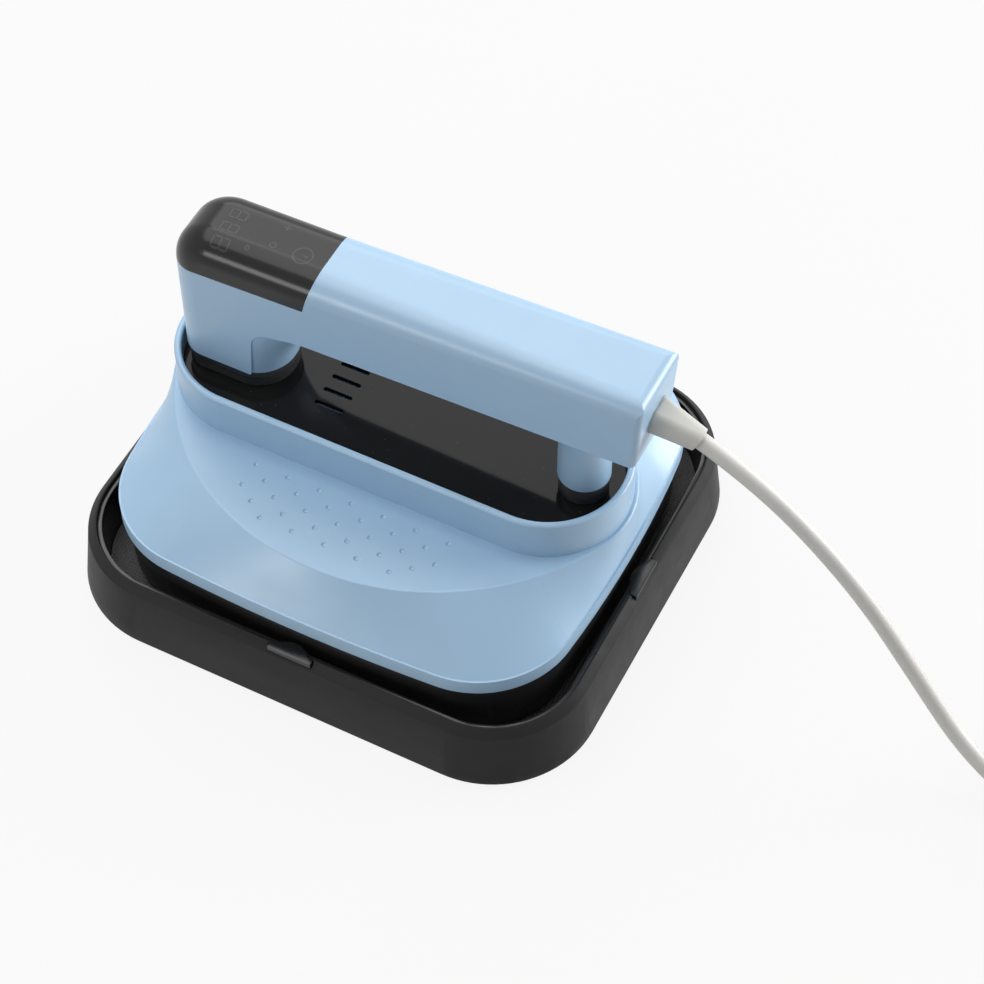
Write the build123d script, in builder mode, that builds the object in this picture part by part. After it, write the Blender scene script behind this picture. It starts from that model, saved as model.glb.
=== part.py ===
"""Mini hand-held heat press standing in its storage tray, with a mains cord.

Frame: +X runs along the handle from the display end to the cord end, +Y away
from the working side, +Z up. The origin is on the resting surface, under the
centre of the tray. Lengths are in millimetres.
"""

from build123d import *
from math import acos, atan2, cos, degrees, hypot, pi, radians, sin, sqrt, tan
import os

os.makedirs("parts", exist_ok=True)

# ---------------------------------------------------------------- clearances
GAP = 0.2            # between pieces that drop into one another
RUNNING = 0.05       # radial, screw in its hole
BODY_GAP = 0.3       # between the cord's parts on the tray and on the press

# ---------------------------------------------------------------------- tray
tray_margin_x = 13.1     # from the press out to the tray's outline
tray_margin_y = 12.1
tray_corner = 49.0
tray_height = 35.0
tray_base = 1.0          # the moulding stands this far off the surface
tray_draft = 3.8         # outer wall leans in by this much up to the shoulder
rim_bevel_height = 4.0
rim_bevel_width = 3.4
rim_land = 0.8           # flat left between bevel and pocket
pocket_draft = 1.5
tray_floor = 3.0
tray_wall = 2.4
foot_diameter = 16.0
foot_recess = 0.8
foot_margin_x = 37.0     # from the tray's outline to a foot's middle
foot_margin_y = 36.5

liner_wall = 2.0
liner_drop = 1.6         # the liner's edge lies this far under the rim
tongue_width = 21.4
tongue_inset = 4.6       # from the tray's outline to a tongue's outer edge
tongue_shoulder = 3.3
tongue_length = 7.3
tongue_nose = 4.0
tongue_thickness = 2.8
tongue_slit = 0.4
pad_thickness = 3.0

# ----------------------------------------------------------- housing outline
housing_length = 223.8
housing_depth = 198.8
side_bow = 550.0         # radius of the two short sides
front_bow = 968.0        # radius of the two long sides
housing_corner = 46.0
skirt_rise = 35.5        # from the platen's face up to the flange
flange_height = 8.0
flange_step = 0.9
shell_wall = 2.8
shoulder_rise = 20.5     # from the flange up to the two crescent shoulders
crest_setback = 15.0     # the shoulders end this far inside the flange
crest_end_margin = 1.0   # their ends are this much wider than the collar
crest_end_reach = 2.0    # and this much longer
crest_split = 58.0       # where the long arc starts to belong to a corner
crest_edge = 1.2

# -------------------------------------------------------------------- collar
collar_setback = 3.4     # the collar ends this far inside the flange
collar_radius = 38.2
collar_rise = 21.6       # from the shoulders up to the lip
collar_lip = 3.2
lip_edge = 1.4
deck_depth = 10.4        # from the lip down to the deck
deck_thickness = 2.5
deck_edge = 0.8
floor_thickness = 3.0
slot_length = 14.2
slot_width = 2.2
slot_pitch = 8.0
slot_count = 4
slot_reach = 22.9        # from the column to the slots' middle

dimple_diameter = 2.6
dimple_depth = 0.7
dimple_pitch_x = 15.7
dimple_pitch_y = 6.1
dimple_first_y = 47.0
dimple_rows = (7, 6, 7, 6, 5)

# -------------------------------------------------------------------- handle
leg_setback = 6.4        # the leg stands this far inside the collar's end
rear_overhang = 9.5      # and the bar reaches this far past its other end
rear_lean = 2.5          # the rear face leans out by this much at the top
handle_width = 37.5
foot_height = 9.8        # black feet between the deck and the handle
grip_clearance = 34.3    # finger room over the feet, beside the column
handle_depth = 41.4
top_rise = 1.2           # degrees, the bar climbs towards the cord
under_rise = 2.2
handle_wall = 2.4
edge_radius_front = 12.5 # long edges and front edges at the display end
edge_radius_rear = 7.0
nose_radius = 21.0       # side view, where the front turns into the top
rear_corner = 3.0
tail_radius = 4.0
leg_length = 37.5
leg_floor = 3.0
arch_length = 26.6       # the shell's seam runs from the leg up to the bar
arch_lean = 2.5
arch_drop = 4.4
arch_radius = 10.0
arch_blend = 30.0
column_length = 11.9
column_flat = 0.75       # left on the nearly half-round column, beside its middle
column_setback = 0.5
flare_radius = 36.0      # the column spreads to the bar with this sweep
post_setback = 30.0      # from the rear face to the post's middle
post_radius = 11.6
post_floor = 18.0        # solid part of the post around its screw
foot_setback = 0.6

cap_length = 66.7
cap_depth = 18.4
cap_rise = 2.6           # degrees, the cap's lower edge
cap_lean = 14.5          # degrees, the cap's rear edge leans back

# ------------------------------------------------------------- press inside
plate_thickness = 10.0
plate_inset = 7.0
plate_edge = 1.5
element_diameter = 6.5
element_corner = 14.0
element_bend = 8.0
element_margin_x = 27.9  # from the flange to the loops' far ends
element_margin_y = 29.4
element_inner_x = -38.0
element_inner_y = 26.0
element_rise = 11.0
terminal_setback = 27.1  # from the handle's front to the terminals
terminal_y = 4.6
terminal_diameter = 4.0
terminal_height = 4.0
shield_thickness = 0.8
shield_height = 6.0
shield_inset = 18.5
blanket_thickness = 7.0
window_length = 36.0
window_depth = 24.0
middle_window_x = 8.0
cutout_diameter = 16.0
cutout_height = 9.0
cutout_x = 14.0
sensor_diameter = 6.0
sensor_height = 8.0
sensor_x = -3.0

skirt_lift = 4.0         # the skirt ends this far over the platen's face
skirt_inset = 1.6
skirt_taper = 2.0
skirt_wall = 2.5
standoff_height = 8.0
ledge_thickness = 3.0
ledge_inset = 16.0
top_ring_inset = 12.0
top_ring_thickness = 2.5
standoff_diameter = 7.0
plate_screw = 4.0
plate_screw_head = 7.4
plate_screw_head_height = 2.6
plate_screw_depth = 6.0
standoff_margin_x = 11.5 # from the flange to the standoffs
standoff_margin_y = 13.5
standoff_spacing = 124.0
skirt_screw = 3.0
skirt_screw_head = 5.6
skirt_screw_head_height = 2.2
skirt_screw_reach = 6.0
boss_diameter = 8.0
boss_margin_x = 21.7
boss_margin_y = 21.3
handle_screw = 4.0
handle_screw_head = 7.6
handle_screw_head_height = 3.0
handle_screw_reach = 14.0
leg_screw_setback = 10.1
leg_screw_y = 9.0
leg_boss_diameter = 8.0
leg_boss_height = 24.0
cover_screw = 3.0
cover_screw_head = 5.6
cover_screw_head_height = 2.2
cover_screw_reach = 10.0
cover_screw_gap = 24.0   # from the post to the cover's screws
cover_screw_y = 9.0
cover_pad_diameter = 9.0
cover_pad_height = 5.4
cover_bore_depth = 3.0
pillar_diameter = 7.0

# -------------------------------------------------------------- electronics
board_thickness = 1.6
display_board_length = 54.0
display_board_width = 25.0
display_setback = 37.1   # from the handle's front to the board's middle
display_drop = 8.6       # from the cap's ceiling down to the board
module_length = 12.7
module_width = 25.0
module_height = 5.0
module_shift = -12.0     # along the board from its middle
key_spring_diameter = 5.0
key_spring_height = 6.6
key_shifts = ((0.0, -9.0), (9.5, -5.0), (10.0, 6.0), (22.0, -4.0))
peg_diameter = 4.6
peg_shifts = ((-1.0, 8.0), (19.0, 9.0))
peg_screw = 2.0
peg_screw_head = 3.8
peg_screw_head_height = 1.4
peg_screw_reach = 5.0
power_board_length = 72.0
power_board_width = 27.0
power_board_setback = 46.35  # from the cover's screws to the board's middle
stud_diameter = 5.0
stud_height = 3.0
stud_spacing_x = 60.0
stud_spacing_y = 20.0
relay_shift = -10.0
relay_size = (19.0, 15.0, 15.0)
capacitor_shift = 18.0
capacitor_size = (17.0, 9.0, 14.0)
block_shift = -26.0
block_size = (12.0, 18.0, 9.0)
lead_diameter = 2.4
lead_bend = 7.0
lead_hole = 13.4
clamp_setback = 10.0     # from the rear face to the clamp's middle
clamp_length = 7.0
clamp_width = 26.0
clamp_height = 7.0
clamp_screw = 3.0
clamp_screw_head = 5.6
clamp_screw_head_height = 2.2
clamp_screw_reach = 8.0
clamp_screw_y = 9.6
inner_cord_reach = 8.0   # the cord ends this far past the clamp

# --------------------------------------------------------------------- cord
cord_diameter = 7.6
cord_length = 1550.0
relief_rise = 21.7       # cord's middle over the underside by the column
relief_width = 15.0
relief_height = 12.6
relief_corner = 4.0
relief_tip_diameter = 10.7
relief_flange = 2.2
relief_flange_margin = 2.5
relief_window_gap = 0.3
cord_points = (
    (138.4, 0.0, 144.6),
    (158.0, 0.0, 135.2),
    (186.0, 0.0, 115.5),
    (218.0, 0.3, 83.0),
    (246.0, -1.5, 47.0),
    (272.0, -6.0, 18.0),
    (300.0, -11.5, 3.8),
    (328.0, -11.5, 3.8),
)
coil_lead_in = 28.0
coil_mean_radius = 38.0
coil_columns = 2
coil_layers = 3
coil_tail = 32.0
plug_length = 38.0
plug_width = 24.0
plug_corner = 5.0
plug_nose_width = 13.0
blade_length = 16.0
blade_width = 6.3
blade_thickness = 1.5
blade_spacing = 12.7
blade_rise = 5.0         # blades above the plug's middle
ground_pin_diameter = 4.8
ground_pin_offset = 11.9

# ------------------------------------------------------------ derived places
tray_length = housing_length + 2 * tray_margin_x
tray_depth = housing_depth + 2 * tray_margin_y
collar_half_length = housing_length / 2 - collar_setback
handle_front = leg_setback - collar_half_length
handle_rear = collar_half_length + rear_overhang
leg_end = handle_front + leg_length
arch_end = leg_end + arch_length
column_end = leg_end + column_length
column_y = handle_width / 2 - column_setback
column_corner = column_y - column_flat
cap_end = handle_front + cap_length
cover_end = handle_rear - handle_wall - GAP
post_x = handle_rear - post_setback
slot_x = column_end + slot_reach
leg_screw_x = handle_front + leg_screw_setback
cover_screw_x = post_x - cover_screw_gap
terminal_x = handle_front + terminal_setback
display_board_x = handle_front + display_setback
module_x = display_board_x + module_shift
power_board_x = cover_screw_x - power_board_setback
clamp_x = handle_rear - clamp_setback
element_x = housing_length / 2 - element_margin_x
element_y = housing_depth / 2 - element_margin_y
standoff_x = standoff_spacing / 2
standoff_y = housing_depth / 2 - standoff_margin_y
standoff_side_x = housing_length / 2 - standoff_margin_x
boss_x = housing_length / 2 - boss_margin_x
boss_y = housing_depth / 2 - boss_margin_y
cord_radius = cord_diameter / 2
coil_half_width = cord_radius * coil_columns
coil_height = cord_diameter * coil_layers

# ----------------------------------------------------------- derived levels
tray_shoulder = tray_height - rim_bevel_height
rim_inset = tray_draft + rim_bevel_width
pocket_inset = rim_inset + rim_land
skirt_foot_inset = skirt_inset + skirt_taper
floor_top = tray_base + tray_floor
liner_top = tray_height - liner_drop
pad_base = floor_top + liner_wall
plate_base = pad_base + pad_thickness
plate_top = plate_base + plate_thickness
skirt_base = plate_base + skirt_lift
housing_base = plate_base + skirt_rise
ledge_base = plate_top + standoff_height
flange_top = housing_base + flange_height
crest_height = flange_top + shoulder_rise
collar_top = crest_height + collar_rise
deck_top = collar_top - deck_depth
deck_base = deck_top - deck_thickness
floor_base = deck_base - floor_thickness
leg_bottom = deck_top + foot_height
handle_bottom = leg_bottom + grip_clearance
relief_z = handle_bottom + relief_rise
element_top = plate_top + element_rise
terminal_top = element_top + terminal_height
blanket_base = plate_top + shield_height


def under_at(x):
    """Level of the bar's underside, which climbs towards the cord."""
    return handle_bottom + (x - arch_end) * tan(radians(under_rise))


def top_at(x):
    """Level of the bar's top, which climbs a little less."""
    return handle_bottom + handle_depth + (x - arch_end) * tan(radians(top_rise))


def cover_at(x):
    """Level halfway through the cover that closes the underside."""
    return under_at(x) + handle_wall / 2


handle_top = top_at(handle_rear + rear_lean)
display_board_top = top_at(display_board_x) - handle_wall - display_drop
power_board_end = power_board_x + power_board_length / 2
power_board_base = under_at(power_board_end) + handle_wall + stud_height
power_board_top = power_board_base + board_thickness


def finish(part, name):
    """Label a finished piece and write its file."""
    part.label = name
    export_step(part, f"parts/{name}.step")


def tray_outline(inset):
    """Rounded rectangle of the tray, drawn in by inset."""
    return RectangleRounded(
        tray_length - 2 * inset, tray_depth - 2 * inset, tray_corner - inset
    )


def quarter(points_and_arcs):
    """Close a quarter outline of arcs by mirroring it about both axes."""
    with BuildLine() as line:
        for centre, radius, start, size in points_and_arcs:
            CenterArc(centre, radius, start, size)
        mirror(about=Plane.XZ)
        mirror(about=Plane.YZ)
    return line


def housing_outline(inset):
    """Bowed rectangle of the housing: side arc, corner arc and front arc."""
    side = side_bow - inset
    front = front_bow - inset
    corner = housing_corner - inset
    side_x = housing_length / 2 - side_bow
    front_y = housing_depth / 2 - front_bow
    span = hypot(side_x, front_y)
    reach_side = side - corner
    reach_front = front - corner
    along = (reach_side**2 - reach_front**2 + span**2) / (2 * span)
    across = sqrt(reach_side**2 - along**2)
    unit_x = -side_x / span
    unit_y = front_y / span
    corner_x = side_x + along * unit_x - across * unit_y
    corner_y = along * unit_y + across * unit_x
    side_angle = degrees(atan2(corner_y, corner_x - side_x))
    front_angle = degrees(atan2(corner_y - front_y, corner_x))
    arcs = (
        ((side_x, 0), side, 0, side_angle),
        ((corner_x, corner_y), corner, side_angle, front_angle - side_angle),
        ((0, front_y), front, front_angle, 90 - front_angle),
    )
    with BuildSketch() as outline:
        add(quarter(arcs))
        make_face()
    return outline.sketch


def crest_outline(inset):
    """Lens of the two shoulders: two long arcs joined by small end arcs."""
    end_radius = collar_radius + crest_end_margin
    small_x = collar_half_length + crest_end_reach - end_radius
    half_depth = housing_depth / 2 - crest_setback
    reach = half_depth - end_radius
    crest_radius = (small_x**2 + half_depth**2 - end_radius**2) / (2 * reach)
    big_y = half_depth - crest_radius
    big = crest_radius - inset
    small = end_radius - inset
    end_angle = degrees(atan2(-big_y, small_x))
    split_angle = degrees(acos(crest_split / crest_radius))
    arcs = (
        ((small_x, 0), small, 0, end_angle),
        ((0, big_y), big, end_angle, split_angle - end_angle),
        ((0, big_y), big, split_angle, 90 - split_angle),
    )
    with BuildSketch() as outline:
        add(quarter(arcs))
        make_face()
    return outline.sketch


def stadium(inset):
    """Stadium of the collar, drawn in by inset."""
    radius = collar_radius - inset
    return SlotCenterToCenter(2 * (collar_half_length - collar_radius), 2 * radius)


def between(level, low, low_value, high, high_value):
    """Value at a level, on a straight line between two levels."""
    return low_value + (high_value - low_value) * (level - low) / (high - low)


def pocket_at(level):
    """Inset of the tray's pocket wall at a level."""
    deep = pocket_inset + pocket_draft
    return between(level, floor_top, deep, tray_height, pocket_inset)


# =================================================================== the tray
foot_places = GridLocations(
    tray_length - 2 * foot_margin_x, tray_depth - 2 * foot_margin_y, 2, 2
)
tongue_places = (
    (0.0, tray_depth / 2),
    (90.0, tray_length / 2),
    (180.0, tray_depth / 2),
    (270.0, tray_length / 2),
)


def tongue_plane(turn, distance):
    """Plane on the rim's top: local -Y points into the pocket."""
    angle = radians(turn)
    origin = (-distance * sin(angle), distance * cos(angle), tray_height)
    return Plane(origin=origin, x_dir=(cos(angle), sin(angle), 0), z_dir=(0, 0, 1))


with BuildPart() as tray_channel:
    with BuildSketch(Plane.XY.offset(tray_base)):
        tray_outline(tray_wall)
    with BuildSketch(Plane.XY.offset(tray_shoulder)):
        tray_outline(tray_draft + tray_wall)
    loft()
    with BuildSketch(Plane.XY.offset(tray_base)):
        tray_outline(pocket_inset + pocket_draft - tray_wall)
    with BuildSketch(Plane.XY.offset(tray_height)):
        tray_outline(pocket_inset - tray_wall)
    loft(mode=Mode.SUBTRACT)

with BuildPart() as tray_shell:
    with BuildSketch(Plane.XY.offset(tray_base)):
        tray_outline(0)
    with BuildSketch(Plane.XY.offset(tray_shoulder)):
        tray_outline(tray_draft)
    loft()
    with BuildSketch(Plane.XY.offset(tray_shoulder)):
        tray_outline(tray_draft)
    with BuildSketch(Plane.XY.offset(tray_height)):
        tray_outline(rim_inset)
    loft()
    with BuildSketch(Plane.XY.offset(floor_top)):
        tray_outline(pocket_at(floor_top))
    with BuildSketch(Plane.XY.offset(tray_height)):
        tray_outline(pocket_inset)
    loft(mode=Mode.SUBTRACT)
    add(tray_channel.part, mode=Mode.SUBTRACT)
    notch_depth = pocket_at(floor_top) - tongue_inset + tongue_slit
    for turn, distance in tongue_places:
        with BuildSketch(tongue_plane(turn, distance - tongue_inset + tongue_slit)):
            with Locations((0, -notch_depth / 2)):
                Rectangle(tongue_width + 2 * tongue_slit, notch_depth)
        extrude(amount=-tongue_thickness - GAP, mode=Mode.SUBTRACT)
    with BuildSketch(Plane.XY.offset(tray_base)):
        with foot_places:
            Circle(foot_diameter / 2 + GAP)
    extrude(amount=foot_recess, mode=Mode.SUBTRACT)
finish(tray_shell.part, "tray_shell")

with BuildPart() as tray_feet:
    with BuildSketch():
        with foot_places:
            Circle(foot_diameter / 2)
    extrude(amount=tray_base + foot_recess)
finish(tray_feet.part, "tray_feet")

with BuildPart() as tray_liner:
    for level in (floor_top, liner_top):
        with BuildSketch(Plane.XY.offset(level)):
            tray_outline(pocket_at(level) + GAP)
    loft()
    for level in (pad_base, liner_top):
        with BuildSketch(Plane.XY.offset(level)):
            tray_outline(pocket_at(level) + GAP + liner_wall)
    loft(mode=Mode.SUBTRACT)
    half_width = tongue_width / 2
    half_nose = tongue_nose / 2
    tongue_points = (
        (-half_width, 0),
        (-half_width, -tongue_shoulder),
        (-half_nose, -tongue_length),
        (half_nose, -tongue_length),
        (half_width, -tongue_shoulder),
        (half_width, 0),
    )
    for turn, distance in tongue_places:
        with BuildSketch(tongue_plane(turn, distance - tongue_inset)):
            Polygon(*tongue_points, align=None)
        extrude(amount=-tongue_thickness)
finish(tray_liner.part, "tray_liner")

with BuildPart() as heat_pad:
    with BuildSketch(Plane.XY.offset(pad_base)):
        tray_outline(pocket_at(pad_base) + liner_wall + 2 * GAP)
    extrude(amount=plate_base - pad_base)
finish(heat_pad.part, "heat_pad")

# ============================================================== heating stack
element_points = (
    (terminal_x, terminal_y, element_top),
    (terminal_x, terminal_y, plate_top),
    (terminal_x, element_y, plate_top),
    (element_x, element_y, plate_top),
    (element_x, element_inner_y, plate_top),
    (element_inner_x, element_inner_y, plate_top),
    (element_inner_x, -element_inner_y, plate_top),
    (element_x, -element_inner_y, plate_top),
    (element_x, -element_y, plate_top),
    (terminal_x, -element_y, plate_top),
    (terminal_x, -terminal_y, plate_top),
    (terminal_x, -terminal_y, element_top),
)
element_radii = [element_bend] + [element_corner] * 8 + [element_bend]


def tube(points, radii, diameter):
    """Round tube along straight runs joined by tangent arcs."""
    with BuildPart() as body:
        with BuildLine():
            route = FilletPolyline(*points, radius=radii)
        with BuildSketch(Plane(origin=route @ 0, z_dir=route % 0)):
            Circle(diameter / 2)
        sweep()
    return body.part


element_tube = tube(element_points, element_radii, element_diameter)
terminal_places = ((terminal_x, terminal_y), (terminal_x, -terminal_y))
with BuildPart() as heating_element:
    add(element_tube)
    with BuildSketch(Plane.XY.offset(element_top)):
        with Locations(*terminal_places):
            Circle(terminal_diameter / 2)
    extrude(amount=terminal_height)
finish(heating_element.part, "heating_element")

standoff_places = (
    (standoff_x, standoff_y),
    (-standoff_x, standoff_y),
    (standoff_x, -standoff_y),
    (-standoff_x, -standoff_y),
    (standoff_side_x, 0),
    (-standoff_side_x, 0),
)
with BuildPart() as heat_plate:
    with BuildSketch(Plane.XY.offset(plate_base)):
        add(housing_outline(plate_inset))
    extrude(amount=plate_thickness)
    fillet(heat_plate.faces().sort_by(Axis.Z)[0].edges(), plate_edge)
    add(element_tube, mode=Mode.SUBTRACT)
    with BuildSketch(Plane.XY.offset(plate_top)):
        with Locations(*standoff_places):
            Circle(plate_screw / 2 + RUNNING)
    extrude(amount=-plate_screw_depth - GAP, mode=Mode.SUBTRACT)
finish(heat_plate.part, "heat_plate")


def windows():
    """Openings over the terminals and over the plate's middle."""
    with BuildSketch() as openings:
        with Locations((terminal_x, 0), (middle_window_x, 0)):
            Rectangle(window_length, window_depth)
    return openings.sketch


with BuildPart() as heat_shield:
    with BuildSketch(Plane.XY.offset(plate_top)):
        add(housing_outline(shield_inset))
    extrude(amount=shield_height)
    with BuildSketch(Plane.XY.offset(plate_top)):
        add(housing_outline(shield_inset + shield_thickness))
    extrude(amount=shield_height - shield_thickness, mode=Mode.SUBTRACT)
    with BuildSketch(Plane.XY.offset(blanket_base)):
        add(windows())
    extrude(amount=-shield_height, mode=Mode.SUBTRACT)
finish(heat_shield.part, "heat_shield")

with BuildPart() as insulation_blanket:
    with BuildSketch(Plane.XY.offset(blanket_base)):
        add(housing_outline(shield_inset))
        add(windows(), mode=Mode.SUBTRACT)
    extrude(amount=blanket_thickness)
finish(insulation_blanket.part, "insulation_blanket")

with BuildPart() as thermal_cutout:
    with BuildSketch(Plane.XY.offset(plate_top)):
        with Locations((cutout_x, 0)):
            Circle(cutout_diameter / 2)
    extrude(amount=cutout_height)
finish(thermal_cutout.part, "thermal_cutout")

with BuildPart() as temperature_sensor:
    with BuildSketch(Plane.XY.offset(plate_top)):
        with Locations((sensor_x, 0)):
            Circle(sensor_diameter / 2)
    extrude(amount=sensor_height)
finish(temperature_sensor.part, "temperature_sensor")

with BuildPart() as plate_standoffs:
    with BuildSketch(Plane.XY.offset(plate_top)):
        with Locations(*standoff_places):
            Circle(standoff_diameter / 2)
            Circle(plate_screw / 2 + RUNNING, mode=Mode.SUBTRACT)
    extrude(amount=standoff_height)
finish(plate_standoffs.part, "plate_standoffs")


def screws(shank, length, head, head_height, places, level, turned=0):
    """Pan-head screws along +Z (or -Z when turned), seated at a level."""
    with BuildPart() as group:
        with Locations(*[Location((x, y, level), (turned, 0, 0)) for x, y in places]):
            Cylinder(head / 2, head_height, align=(Align.CENTER, Align.CENTER, Align.MAX))
            Cylinder(shank / 2, length, align=(Align.CENTER, Align.CENTER, Align.MIN))
    return group.part


plate_screws = screws(
    plate_screw,
    ledge_thickness + standoff_height + plate_screw_depth,
    plate_screw_head,
    plate_screw_head_height,
    standoff_places,
    ledge_base + ledge_thickness,
    turned=180,
)
finish(plate_screws, "plate_screws")

# ================================================================== the skirt
def skirt_at(level):
    """Inset of the skirt's outer wall at a level."""
    return between(level, skirt_base, skirt_foot_inset, housing_base, skirt_inset)


boss_places = (
    (boss_x, boss_y),
    (-boss_x, boss_y),
    (boss_x, -boss_y),
    (-boss_x, -boss_y),
)
with BuildPart() as lower_skirt:
    for level, inset in ((skirt_base, skirt_foot_inset), (housing_base, skirt_inset)):
        with BuildSketch(Plane.XY.offset(level)):
            add(housing_outline(inset))
    loft()
    for level, inset in ((skirt_base, skirt_foot_inset), (housing_base, skirt_inset)):
        with BuildSketch(Plane.XY.offset(level)):
            add(housing_outline(inset + skirt_wall))
    loft(mode=Mode.SUBTRACT)
    for level, thickness, inner in (
        (ledge_base, ledge_thickness, ledge_inset),
        (housing_base - top_ring_thickness, top_ring_thickness, top_ring_inset),
    ):
        with BuildSketch(Plane.XY.offset(level)):
            add(housing_outline(skirt_at(level) + skirt_wall / 2))
            add(housing_outline(inner), mode=Mode.SUBTRACT)
        extrude(amount=thickness)
    with BuildSketch(Plane.XY.offset(ledge_base)):
        with Locations(*standoff_places):
            Circle(plate_screw / 2 + RUNNING)
    extrude(amount=ledge_thickness, mode=Mode.SUBTRACT)
    with BuildSketch(Plane.XY.offset(housing_base)):
        with Locations(*boss_places):
            Circle(skirt_screw / 2 + RUNNING)
    extrude(amount=-top_ring_thickness, mode=Mode.SUBTRACT)
finish(lower_skirt.part, "lower_skirt")

skirt_screws = screws(
    skirt_screw,
    top_ring_thickness + skirt_screw_reach,
    skirt_screw_head,
    skirt_screw_head_height,
    boss_places,
    housing_base - top_ring_thickness,
)
finish(skirt_screws, "skirt_screws")

# ================================================================ the housing
handle_screw_places = (
    (leg_screw_x, leg_screw_y),
    (leg_screw_x, -leg_screw_y),
    (post_x, 0),
)


def passages(base, height):
    """Holes under the handle for its screws and for the leads."""
    with BuildPart() as holes:
        with BuildSketch(Plane.XY.offset(base)):
            with Locations(*handle_screw_places):
                Circle(handle_screw / 2 + RUNNING)
            with Locations((terminal_x, 0)):
                Circle(lead_hole / 2)
        extrude(amount=height)
    return holes.part


def vents(base, height):
    """Row of vent slots beside the handle's leg."""
    with BuildPart() as slots:
        with BuildSketch(Plane.XY.offset(base)):
            with Locations((slot_x, 0)):
                with GridLocations(slot_length, slot_pitch, 1, slot_count):
                    SlotOverall(slot_length, slot_width)
        extrude(amount=height)
    return slots.part


def housing_form(inset, crest):
    """Flange band and shoulders of the housing, drawn in by inset."""
    with BuildPart() as form:
        with BuildSketch(Plane.XY.offset(housing_base)):
            add(housing_outline(inset))
        extrude(amount=flange_height)
        with BuildSketch(Plane.XY.offset(flange_top)):
            add(housing_outline(inset + flange_step))
        with BuildSketch(Plane.XY.offset(crest)):
            add(crest_outline(inset))
        loft()
    return form.part


with BuildPart() as housing_cavity:
    add(housing_form(shell_wall, crest_height - floor_thickness))
    with BuildSketch(Plane.XY.offset(flange_top)):
        stadium(shell_wall)
    extrude(amount=floor_base - flange_top)

dimple_places = []
for row, count in enumerate(dimple_rows):
    row_y = dimple_first_y + row * dimple_pitch_y
    for step in range(count):
        row_x = (step - (count - 1) / 2) * dimple_pitch_x
        dimple_places.append((row_x, row_y, crest_height))
        dimple_places.append((row_x, -row_y, crest_height))
dimple_radius = ((dimple_diameter / 2) ** 2 + dimple_depth**2) / (2 * dimple_depth)

with BuildPart() as housing_body:
    add(housing_form(0, crest_height))
    fillet(housing_body.faces().sort_by(Axis.Z)[-1].edges(), crest_edge)
    with BuildSketch(Plane.XY.offset(flange_top)):
        stadium(0)
    extrude(amount=collar_top - flange_top)
    with BuildSketch(Plane.XY.offset(deck_base)):
        stadium(collar_lip)
    extrude(amount=collar_top - deck_base, mode=Mode.SUBTRACT)
    lip_edges = housing_body.faces().sort_by(Axis.Z)[-1].edges()
    fillet(lip_edges, lip_edge)

with BuildPart() as housing_bosses:
    with BuildSketch(Plane.XY.offset(housing_base)):
        with Locations(*boss_places):
            Circle(boss_diameter / 2)
    extrude(amount=flange_height + boss_diameter)
    add(housing_body.part, mode=Mode.INTERSECT)

with BuildPart() as housing_shell:
    add(housing_body.part)
    add(housing_cavity.part, mode=Mode.SUBTRACT)
    add(passages(floor_base, floor_thickness), mode=Mode.SUBTRACT)
    add(vents(floor_base, floor_thickness), mode=Mode.SUBTRACT)
    with Locations(*dimple_places):
        with Locations((0, 0, dimple_radius - dimple_depth)):
            Sphere(dimple_radius, mode=Mode.SUBTRACT)
    add(housing_bosses.part)
    with BuildSketch(Plane.XY.offset(housing_base)):
        with Locations(*boss_places):
            Circle(skirt_screw / 2 + RUNNING)
    extrude(amount=skirt_screw_reach + GAP, mode=Mode.SUBTRACT)
finish(housing_shell.part, "housing_shell")

with BuildPart() as deck_plate:
    with BuildSketch(Plane.XY.offset(deck_base)):
        stadium(collar_lip + GAP)
    extrude(amount=deck_thickness)
    fillet(deck_plate.faces().sort_by(Axis.Z)[-1].edges(), deck_edge)
    add(passages(deck_base, deck_thickness), mode=Mode.SUBTRACT)
    add(vents(deck_base, deck_thickness), mode=Mode.SUBTRACT)
finish(deck_plate.part, "deck_plate")

with BuildPart() as leg_foot:
    with BuildSketch(Plane.XY.offset(deck_top)) as foot_plan:
        foot_front = handle_front + foot_setback
        foot_rear = column_end - foot_setback
        with Locations(((foot_front + foot_rear) / 2, 0)):
            Rectangle(foot_rear - foot_front, 2 * (column_y - foot_setback))
        ends = foot_plan.vertices().group_by(Axis.X)
        fillet(ends[0], edge_radius_front - foot_setback)
        ends = foot_plan.vertices().group_by(Axis.X)
        fillet(ends[-1], column_corner - foot_setback)
    extrude(amount=leg_bottom - deck_top)
    add(passages(deck_top, leg_bottom - deck_top), mode=Mode.SUBTRACT)
finish(leg_foot.part, "leg_foot")

with BuildPart() as post_foot:
    with BuildSketch(Plane.XY.offset(deck_top)):
        with Locations((post_x, 0)):
            Circle(post_radius - foot_setback)
            Circle(handle_screw / 2 + RUNNING, mode=Mode.SUBTRACT)
    extrude(amount=leg_bottom - deck_top)
finish(post_foot.part, "post_foot")

handle_screws = screws(
    handle_screw,
    leg_bottom - floor_base + handle_screw_reach,
    handle_screw_head,
    handle_screw_head_height,
    handle_screw_places,
    floor_base,
)
finish(handle_screws, "handle_screws")

# ================================================================= the handle
cross_plane = Plane(origin=(0, 0, 0), x_dir=(0, 1, 0), z_dir=(1, 0, 0))


def on_side(form, half, low_x, high_x, low_z, high_z):
    """Edges of a form on its two side planes, between limits in X and Z."""
    return [
        edge
        for edge in form.edges()
        if abs(abs(edge.center().Y) - half) < GAP
        and low_x < edge.center().X < high_x
        and low_z < edge.center().Z < high_z
    ]


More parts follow.
